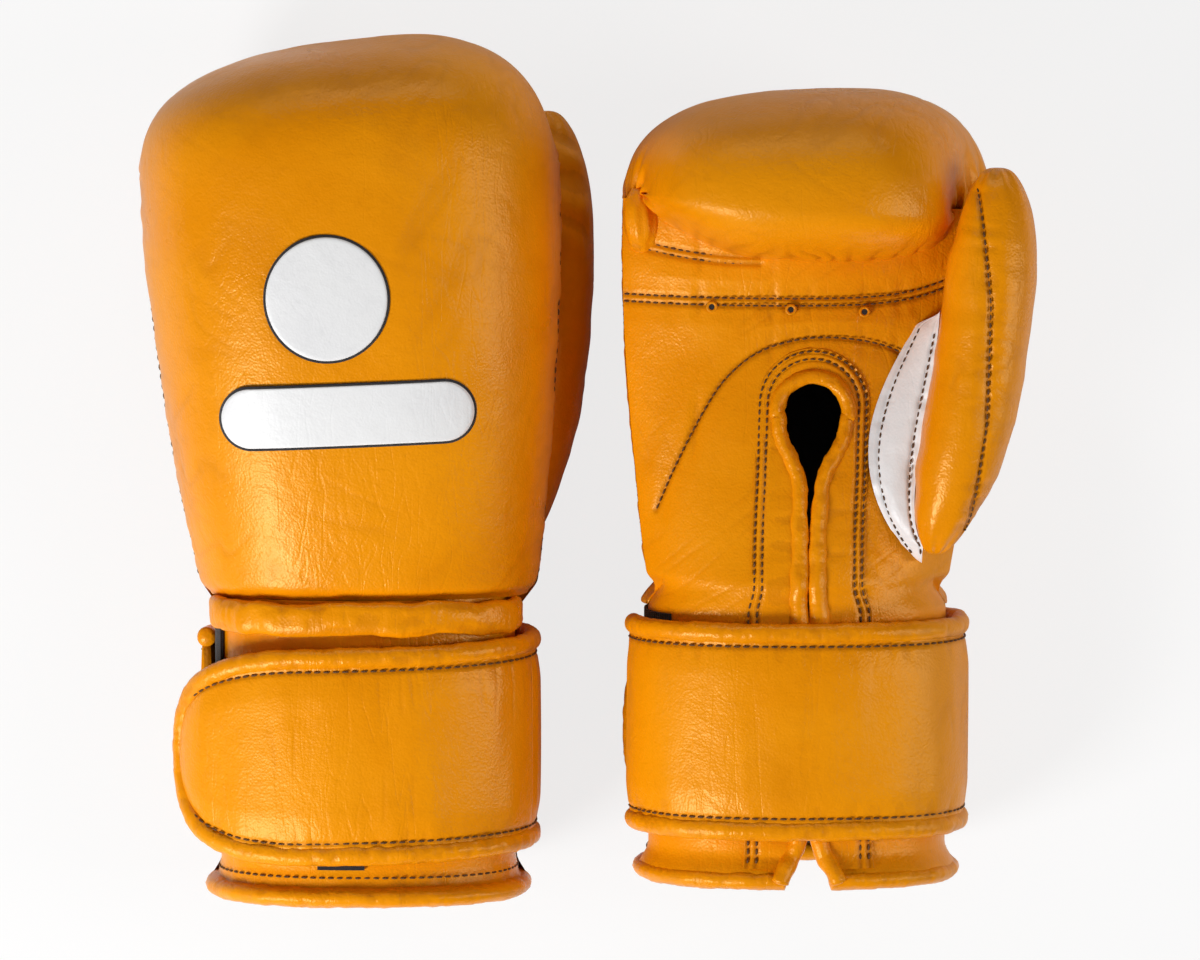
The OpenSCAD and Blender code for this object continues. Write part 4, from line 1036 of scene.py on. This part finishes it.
def make_cuff(side, seed):
    a = even_turn(0, 0, 2 * np.pi, 321)[:-1][None, :]
    y = np.linspace(HEM_R * 1.2, WRIST_Y + 1, 130)[:, None]
    x, z = cuff_pt(flare(y), a)
    P = np.stack([x, y + 0 * x, z], -1)
    N = normals(P, wrap=True)
    soft = noise(P * [1, 0.6, 1], 26.0, seed)
    pucker = noise(P * [1, 0.25, 1], 4.5, seed + 1) * bump(P[..., 1] - 7, 7.0)
    groove = bump(P[..., 1] - 8.0, 1.5)
    P = P + N * (0.5 * soft + 0.35 * pucker - 0.4 - 1.2 * groove)[..., None]
    off = np.abs(P[..., 0] - KEY_X)
    slit = (P[..., 2] < 0) & (off < slit_half(P[..., 1]) + BIND_R)
    keep = ~(slit[:-1] | slit[1:])
    keep = keep & np.roll(keep, -1, 1)
    # painted shade in the groove and the pucker valleys
    painted_shade = np.clip(0.6 * groove + 0.15 * (pucker < -0.3), 0, 1)
    obj = put_grid(f"{side}_cuff_leather", P[:, ::-1], side, wrap=True, painted_shade=painted_shade[:, ::-1], keep=keep[:, ::-1])
    return own(obj, side, "glove", ("cuff_shell", "cuff_foam"), material=AMBER)


def make_hem(side, seed):
    mid = -4.6 + flare(HEM_R)
    cut = slit_half(HEM_R) + 0.4 * HEM_R
    a0, a1 = low_angle(KEY_X + cut), 2 * np.pi + low_angle(KEY_X - cut)
    a = even_turn(mid, a0, a1, 520)
    x, z = cuff_pt(mid, a)
    path = np.stack([x, HEM_R + 0 * x, z], -1)
    out = np.tile([0, -1.0, 0], (len(path), 1))
    wide = HEM_R + 2.7
    P = tube(path, out, wide, HEM_R + 0.5)
    P, painted_shade = gathered(P, 3.8, 0.30, seed)
    obj = put_grid(f"{side}_hem_roll", P, side, wrap=True, painted_shade=painted_shade)
    return own(obj, side, "glove", ("cuff_hem",), material=AMBER)


def hem_stitches(side):
    """A row just above the hem's roll, from one side of the slit round to the other."""
    y = HEM_R * 2 + GAP + 3.4
    cut = slit_half(y) + 2 * BIND_R + 2
    a = even_turn(0, low_angle(KEY_X + cut), 2 * np.pi + low_angle(KEY_X - cut), 900)
    x, z = cuff_pt(flare(y) - 0.35, a)
    t = np.gradient(np.stack([x, z], -1), axis=0)
    t /= np.linalg.norm(t, axis=1, keepdims=True)
    out = np.stack([t[:, 1], 0 * x, -t[:, 0]], -1)
    line = np.stack([x, y + 0 * x, z], -1)
    return own(put_stitches(f"{side}_hem_stitches", [(line, out)], side, 3.2, 2.2, 0.4), side, "glove")


def make_wrist_band(side, seed):
    a = even_turn(2, math.radians(-5), math.radians(185), 420)[:, None]
    q = np.linspace(0, 2 * np.pi, 40, endpoint=False)[None, :]
    half, thick = BAND_W / 2 + 0.6, BAND_T / 2 + 0.5
    thin = smooth(np.minimum(a - math.radians(-5), math.radians(185) - a) / 0.6)
    half, thick = half * mix(0.75, 1, thin), thick * mix(0.18, 1, thin)
    sag = noise(np.stack([a * 6, 0 * a, 0 * a], -1), 1.0, seed)
    y = WRIST_Y - BAND_W / 2 + 0.8 * sag + half * spow(np.cos(q), 0.8)
    d = GAP + mix(0.1, BAND_T / 2, thin) + thick * spow(np.sin(q), 0.8)
    x, z = (CUFF_A + d) * spow(np.cos(a), 2 / CUFF_N), (CUFF_B + d) * spow(np.sin(a), 2 / CUFF_N)
    P = np.stack([x, y + 0 * x, z], -1)
    N = normals(P, wrap=True)
    wrinkle = noise(np.stack([a * 9 + 0 * q, np.cos(q) * 1.5 + 0 * a, np.sin(q) * 1.5 + 0 * a], -1), 1.0, seed + 1)
    tiny = noise(np.stack([a * 30 + 0 * q, np.cos(q) * 2 + 0 * a, np.sin(q) * 2 + 0 * a], -1), 1.0, seed + 2)
    P = P - N * (0.55 * wrinkle + 0.15 * tiny)[..., None]
    ends = np.stack([P[0].mean(0), P[-1].mean(0)])
    P = np.concatenate([np.repeat(ends[:1], 40, 0)[None], mix(P[:1], ends[0], 0.4), P, mix(P[-1:], ends[1], 0.4), np.repeat(ends[1:], 40, 0)[None]])
    # painted shade where the wrinkles press in
    obj = put_grid(f"{side}_wrist_roll", P, side, wrap=True, painted_shade=np.clip(np.pad(0.25 * (wrinkle > 0.3), ((2, 2), (0, 0))), 0, 1))
    return own(obj, side, "glove", ("wrist_band",), material=AMBER)


for i, side in enumerate(SIDES):
    make_cuff(side, 611 + 20 * i)
    make_hem(side, 631 + 20 * i)
    hem_stitches(side)
    make_wrist_band(side, 651 + 20 * i)


# %% [markdown]
# ## The strap
#
# A padded strap starts under the cuff on the little finger's side, runs under the palm side and up
# round the thumb's side, and closes on the back with its rounded end. In the CAD it has three rigid
# runs, joined by two hinges. Here it is two soft pieces, fixed in place: they ride on no body and don't bend at the
# hinges.

# %% The strap's path
STRAP_MID_D = STRAP_D
CURL, END, ROUND, PINKY, JOIN = 69.0, 166.0, 108.0, 184.0, 14.0
SHEET_HALF, EDGE_HALF = STRAP_W / 2 - 2 * EDGE_R - GAP, STRAP_W / 2 - EDGE_R


def strap_my(a):
    return STRAP_MID - np.where((a > 0) & (a < 180), STRAP_SLANT * smooth(a / END), 0)


def strap_pt(a, side, d=0.0):
    """Point of the strap's middle surface at an angle in degrees, moved outwards by d."""
    over = np.where((a > 90) & (a < 180), OVERHANG[side] * smooth((a - 90) / 60), 0)
    q = np.radians(a)
    return np.stack([
        (CUFF_A + over + STRAP_MID_D + d) * spow(np.cos(q), 2 / CUFF_N),
        (CUFF_B + STRAP_MID_D + d) * spow(np.sin(q), 2 / CUFF_N),
    ], -1)


def strap_out(a, side):
    t = strap_pt(a + 0.5, side) - strap_pt(a - 0.5, side)
    t /= np.linalg.norm(t, axis=-1, keepdims=True)
    return np.stack([t[..., 1], -t[..., 0]], -1)


def strap_angles(a0, a1, n, side):
    """Angles whose points lie at even steps along the strap."""
    a = np.linspace(a0, a1, 5000)
    p = strap_pt(a, side)
    run = np.concatenate([[0], np.cumsum(np.linalg.norm(np.diff(p, axis=0), axis=1))])
    return np.interp(np.linspace(0, run[-1], n), run, a), run[-1]


def end_share(a):
    return np.sqrt(np.maximum(0.0, 1 - np.clip((a - ROUND) / (END - ROUND), 0, 1) ** 2))


def strap_face(name, side, a0, a1, seed, end=False):
    """Padded face of a strap run, as one closed grid: the top face, and the back face under it."""
    a, length = strap_angles(a0, a1 if not end else END - 5.0, 330, side)
    share = end_share(a) if end else np.ones_like(a)
    half = np.maximum(SHEET_HALF * share + 1.6 * np.minimum(1, share * 2), 0.05)
    # round the section: w goes once round, top face out, then the back
    q = np.linspace(0, 2 * np.pi, 160, endpoint=False)[None, :]
    w = np.cos(q)
    w = np.sign(w) * (1 - (1 - np.abs(w)) ** 1.0)
    high = spow(np.sin(q), 0.22)
    a2, w2 = np.broadcast_arrays(a[:, None], w)
    p, n = strap_pt(a2, side), strap_out(a2, side)
    y = strap_my(a2) + half[:, None] * w2
    run = np.linspace(0, length, len(a))[:, None] + 0 * w2
    edge = (1 - np.abs(w2)) * half[:, None]
    top = np.sin(q) > 0
    crown = 1.15 * smooth(edge / 13) * top
    dent = noise(np.stack([run / 20, y / 60, 0 * y], -1), 1.0, seed)
    wrinkle = noise(np.stack([run / 7.5, y / 34, 0 * y], -1), 1.0, seed + 1)
    pucker = noise(np.stack([run / 3.2, edge / 12, np.sign(w2)], -1), 1.0, seed + 2) * bump(edge - 2, 6.0)
    line = wrinkles(np.stack([run, y, 0 * y], -1), 6.0, 7.0, 0, seed + 3)
    groove = bump(edge - 2.6, 0.9)
    lift = crown + top * (0.55 * dent + 0.34 * wrinkle + 0.26 * pucker - 0.5 * groove - 0.14 * line) * smooth(edge / 2)
    fade = np.clip(np.minimum(run, length - run) / 3, 0, 1) if not end else np.clip(run / 3, 0, 1)
    d = high * STRAP_T / 2 * np.maximum(0.15, np.minimum(1, share))[:, None] + lift * fade
    d = np.where(top, d, high * STRAP_T / 2)
    P = np.stack([p[..., 0] + n[..., 0] * d, y, p[..., 1] + n[..., 1] * d], -1)
    # painted shade in the stitch grooves, crease lines and pucker valleys of the top face
    painted_shade = np.clip((0.55 * groove + 0.14 * line + 0.15 * (pucker < -0.3)) * top, 0, 1)
    caps = np.stack([P[0].mean(0), P[-1].mean(0)])
    P = np.concatenate([np.repeat(caps[:1], 160, 0)[None], P, np.repeat(caps[1:], 160, 0)[None]])
    painted_shade = np.pad(painted_shade, ((1, 1), (0, 0)), mode="edge")
    rows = []
    for s in (-1, 1):
        keep = share > 0.2
        aa, hh = a[keep], half[keep]
        pp, nn = strap_pt(aa, side), strap_out(aa, side)
        path = np.stack([pp[:, 0] + nn[:, 0] * 1.75, strap_my(aa) + s * (hh - 2.6), pp[:, 1] + nn[:, 1] * 1.75], -1)
        rows.append((path, np.stack([nn[:, 0], 0 * aa, nn[:, 1]], -1)))
    obj = put_grid(name, P[:, ::-1], side, wrap=True, painted_shade=painted_shade[:, ::-1])
    stitches = put_stitches(name + "_stitches", rows, side, 3.3, 2.3, 0.4)
    return obj, stitches


def strap_piping(name, side, a0, a1, seed, end=False):
    """Gathered piping along both edges, which meet round the end."""
    a, _ = strap_angles(a0, ROUND if end else a1, 420, side)
    lines = []
    for s in (-1, 1):
        lines.append(np.stack([a, s * EDGE_HALF + 0 * a], -1))
    if end:
        q = np.linspace(-np.pi / 2, np.pi / 2, 300)
        arc = np.stack([mix(ROUND, END, np.cos(q)), EDGE_HALF * np.sin(q)], -1)
        lines = [np.concatenate([lines[0], arc[1:-1], lines[1][::-1]])]
    grids, painted_shades = [], []
    for k, line in enumerate(lines):
        p = strap_pt(line[:, 0], side)
        path = np.stack([p[:, 0], strap_my(line[:, 0]) + line[:, 1], p[:, 1]], -1)
        path = match(path, 700 if end else 460)
        ang = np.interp(np.linspace(0, 1, len(path)), np.linspace(0, 1, len(line)), line[:, 0])
        n = strap_out(ang, side)
        out = np.stack([n[:, 0], 0 * ang, n[:, 1]], -1)
        P = tube(path, out, EDGE_R + 0.35, EDGE_R + 0.1, 20)
        P, m = gathered(P, 3.6, 0.26, seed + k)
        grids.append(P)
        painted_shades.append(m)
    verts = np.concatenate([g.reshape(-1, 3) for g in grids])
    faces, start = [], 0
    for g in grids:
        faces.append(grid_faces(g.shape[0], g.shape[1], True) + start)
        start += g.shape[0] * g.shape[1]
    faces = np.concatenate(faces)
    if side == "right":
        faces = faces[:, ::-1]
    uv = np.concatenate([np.stack([arc_length(g, 0), arc_length(g, 1)], -1).reshape(-1, 2) for g in grids]) / 1000
    return put_mesh(name, lay(verts, side).reshape(-1, 3), faces, np.concatenate([np.ravel(m) for m in painted_shades]), uv)


def tidy_strap(obj, side, bodies, start, end, stands_for, material=AMBER):
    """Bakes a strap piece in place, hides the CAD nodes that it stands for and gives it its material. bodies, start and
    end are not used.
    """
    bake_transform(obj)
    if stands_for:
        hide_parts(*[f"{side}_{n}" for n in stands_for])
    obj.data.materials.clear()
    obj.data.materials.append(material)
    pieces[obj.name] = len(obj.data.polygons)


for i, side in enumerate(SIDES):
    seed = 711 + 40 * i
    first = ("glove", "strap_side_link"), (60, STRAP_MID, -7), (63, STRAP_MID, 7)
    last = ("strap_side_link", "strap_end_link"), (34, STRAP_MID, 38), (18, STRAP_MID, 42)
    face, stitches = strap_face(f"{side}_strap_under", side, PINKY, 360 + JOIN, seed)
    tidy_strap(face, side, *first, ("strap_palm_run", "strap_side_run"))
    tidy_strap(stitches, side, *first, (), THREAD)
    piping = strap_piping(f"{side}_strap_under_piping", side, PINKY, 360 + JOIN, seed + 8)
    tidy_strap(piping, side, *first, ("strap_palm_edging", "strap_side_edging"))
    face, stitches = strap_face(f"{side}_strap_over", side, JOIN, END, seed + 16, end=True)
    tidy_strap(face, side, *last, ("strap_end",))
    tidy_strap(stitches, side, *last, (), THREAD)
    piping = strap_piping(f"{side}_strap_over_piping", side, JOIN, END, seed + 24, end=True)
    tidy_strap(piping, side, *last, ("strap_end_edging",))


# %% [markdown]
# ## Patches on the back
#
# A disc and a long rounded bar of white leather are sewn to the back of the hand, each with a narrow
# dark edge. They stay plain. They follow the shell, so their grid is laid on its surface.

# %% Patches
DISC_R, DISC_AT = 21.0, (-7.0, PIVOT_Y - 41)
BAR_LEN, BAR_H, BAR_AT = 88.0, 20.5, (-2.0, PIVOT_Y - 81)


def back_point(x, y, d):
    """Point of the back of the hand, d above it."""
    rho = (1 - np.minimum(1, np.abs(x) / half_w(y)) ** 2.8) ** (1 / 2.8)
    return np.stack([x, y, SEAM_Z + rise(y) * rho + d], -1)


def patch_grid(outline_xy, lift, rings=26):
    """Rings from the middle of a closed outline to its edge, which turns down."""
    centre = outline_xy.mean(0)
    t = np.concatenate([np.linspace(0, 0.97, rings), [1.0, 1.0]])[:, None, None]
    flat = centre + (outline_xy[None] - centre) * t
    d = np.full(flat.shape[:2], lift)
    d[-2] -= 0.25
    d[-1] = -1.2
    return back_point(flat[..., 0], flat[..., 1], d)


def disc_outline(grow):
    q = np.linspace(0, 2 * np.pi, 180, endpoint=False)
    return np.stack([DISC_AT[0] + (DISC_R + grow) * np.cos(q), DISC_AT[1] + (DISC_R + grow) * np.sin(q)], -1)


def bar_outline(grow):
    r = BAR_H / 2
    q = np.linspace(-np.pi / 2, np.pi / 2, 60)
    cap = np.stack([BAR_LEN / 2 - r + (r + grow) * np.cos(q), (r + grow) * np.sin(q)], -1)
    loop = np.concatenate([cap, -cap])
    loop = np.concatenate([loop, loop[:1]])
    return match(loop, 241)[:-1] + np.array(BAR_AT)


for i, side in enumerate(SIDES):
    for shape, name in ((disc_outline, "disc"), (bar_outline, "bar")):
        rim = put_grid(f"{side}_{name}_edge", patch_grid(shape(0.9), 1.1)[::-1], side, wrap=True)
        own(rim, side, "glove", (), LINING)
        face = patch_grid(shape(0.0), 1.45)
        face[..., 2] += 0.10 * noise(face, 9.0, 900 + i)
        obj = put_grid(f"{side}_{name}_leather", face[::-1], side, wrap=True, painted_shade=np.zeros(face.shape[:2]))
        own(obj, side, "glove", ("back_patches",), WHITE)


# %% [markdown]
# ## The pieces that stay as the CAD draws them
#
# Linings, loop panel, hook patch, anchor and tab have the right shape already. They get cloth.
# The grip bar is the padded roll inside the palm that the fingers close on, covered by the lining.

# %% Cloth on the CAD pieces
cloth = {
    "back_lining": LINING, "palm_lining": LINING, "cuff_lining": LINING, "grip_bar": LINING,
    "loop_panel": LOOP, "hook_patch": LOOP, "strap_anchor": LOOP, "size_tab": LINING,
}
for side in SIDES:
    for name, material in cloth.items():
        obj = bpy.data.objects[f"{side}_{name}"]
        for slot in obj.material_slots:
            slot.link = "OBJECT"
            slot.material = material
print(len(pieces), "new pieces,", sum(pieces.values()), "faces")


# %% [markdown]
# ## Seams on the shell and vent holes
#
# The seam between shell and palm runs down both sides of the hand. Its stitches show at the
# thumb's side of the left glove. The vents are small rimmed holes below the double seam.

# %% Side seams and vents
def side_seam(sign):
    y = np.linspace(WRIST_Y + 6, PIVOT_Y - 8, 200)
    x = sign * (half_w(y) - 0.9)
    z = SEAM_Z + 7 + 0 * y
    out = np.stack([sign * np.ones_like(y), 0 * y, 0.35 + 0 * y], -1)
    return np.stack([x, y, z], -1) + 0.6 * out, out


for side in SIDES:
    own(put_stitches(f"{side}_side_stitches", [side_seam(1), side_seam(-1)], side, 3.4, 2.2, 0.42), side, "glove")
    q = np.linspace(0, 2 * np.pi, 28, endpoint=False)
    rings = []
    for x0 in (-38.0, -7.0, 22.0):
        c, n = under(x0, BAND_SEAM_Y - 5, 0.8)
        ring = np.stack([
            c + np.stack([r * np.cos(q), r * np.sin(q), 0 * q], -1) + n * h
            for r, h in ((2.3, -0.4), (2.2, 0.35), (1.6, 0.5), (1.15, 0.2), (1.05, -0.5))
        ])
        hole = np.stack([c + np.stack([r * np.cos(q), r * np.sin(q), 0 * q], -1) + n * 0.15 for r in (1.12, 0.02)])
        rings.append((ring, hole))
    for k, material in ((0, AMBER), (1, LINING)):
        verts = np.concatenate([g[k].reshape(-1, 3) for g in rings])
        one = rings[0][k]
        faces = np.concatenate([grid_faces(one.shape[0], 28, True) + j * one.shape[0] * 28 for j in range(3)])
        if side == "left":
            faces = faces[:, ::-1]
        # painted shade: the vent rims are darkened by a flat 0.3
        obj = put_mesh(f"{side}_{('vent_rims', 'vent_holes')[k]}", lay(verts, side).reshape(-1, 3), faces, 0.3 * np.ones(len(verts)))
        own(obj, side, "glove", material=material)


# %% [markdown]
# ## Floor, light and camera
#
# A seamless white floor, one large soft lamp from the lower left, and weaker ones from the far end
# and from the right. The camera looks straight down from 2 m, as a product picture of a pair is taken.

# %% Floor and lights
def backdrop():
    side_m = 3.0
    mesh = bpy.data.meshes.new("floor")
    s = side_m / 2
    mesh.from_pydata([(-s, -s, 0), (s, -s, 0), (s, s, 0), (-s, s, 0)], [], [(0, 1, 2, 3)])
    obj = bpy.data.objects.new("floor", mesh)
    bpy.context.scene.collection.objects.link(obj)
    g = Graph("floor")
    matt = g.add("ShaderNodeBsdfDiffuse", Color=(0.86, 0.86, 0.86, 1.0))
    glow = g.add("ShaderNodeEmission", Color=(1.0, 1.0, 1.0, 1.0), Strength=1.0)
    rays = g.add("ShaderNodeLightPath")
    seen = g.math("MAXIMUM", rays.outputs["Is Camera Ray"], rays.outputs["Is Transmission Ray"])
    both = g.add("ShaderNodeMixShader", _0=g.math("MULTIPLY", seen, 0.80), _1=matt.outputs[0], _2=glow.outputs[0])
    g.tree.links.new(both.outputs[0], g.add("ShaderNodeOutputMaterial").inputs[0])
    obj.data.materials.append(g.material)


def lamp(name, at, aim, size, power):
    light = bpy.data.lights.new(name, "AREA")
    light.shape = "RECTANGLE"
    light.size, light.size_y = size
    light.energy = power
    obj = bpy.data.objects.new(name, light)
    bpy.context.scene.collection.objects.link(obj)
    obj.location = at
    way = np.array(at) - np.array(aim)
    pitch = math.atan2(math.hypot(way[0], way[1]), way[2])
    turn = math.atan2(way[1], way[0]) + math.pi / 2
    obj.rotation_euler = (pitch, 0, turn)


backdrop()
lamp("key", (-0.80, -0.75, 0.80), (0, 0, 0.05), (0.45, 0.45), 17.0)
lamp("top", (0.00, 1.05, 0.50), (0, 0.05, 0.05), (1.0, 0.25), 2.4)
lamp("fill", (1.00, -0.10, 0.70), (0, 0, 0.05), (0.4, 1.0), 5.5)

world = bpy.data.worlds.new("studio")
bpy.context.scene.world = world
world.use_nodes = True
tree = world.node_tree
tree.nodes.clear()
rays = tree.nodes.new("ShaderNodeLightPath")
see = tree.nodes.new("ShaderNodeMath")
see.operation = "MAXIMUM"
tree.links.new(rays.outputs["Is Camera Ray"], see.inputs[0])
tree.links.new(rays.outputs["Is Transmission Ray"], see.inputs[1])
sky = tree.nodes.new("ShaderNodeBackground")
sky.inputs[0].default_value = (1.0, 0.98, 0.95, 1)
sky.inputs[1].default_value = 0.13
white = tree.nodes.new("ShaderNodeBackground")
white.inputs[1].default_value = 1.0
pick = tree.nodes.new("ShaderNodeMixShader")
tree.links.new(see.outputs[0], pick.inputs[0])
tree.links.new(sky.outputs[0], pick.inputs[1])
tree.links.new(white.outputs[0], pick.inputs[2])
tree.links.new(pick.outputs[0], tree.nodes.new("ShaderNodeOutputWorld").inputs[0])
bpy.context.scene.view_settings.view_transform = "Standard"

# %% Camera
CAM_HEIGHT, FRAME_W, FRAME_AT = 2.0, 0.430, 0.045
cam = bpy.data.cameras.new("camera")
camera = bpy.data.objects.new("camera", cam)
bpy.context.scene.collection.objects.link(camera)
camera.location = (0.006, -0.0043, CAM_HEIGHT)
cam.sensor_width = 36.0
cam.lens = 36.0 * (CAM_HEIGHT - FRAME_AT) / FRAME_W
bpy.context.scene.camera = camera
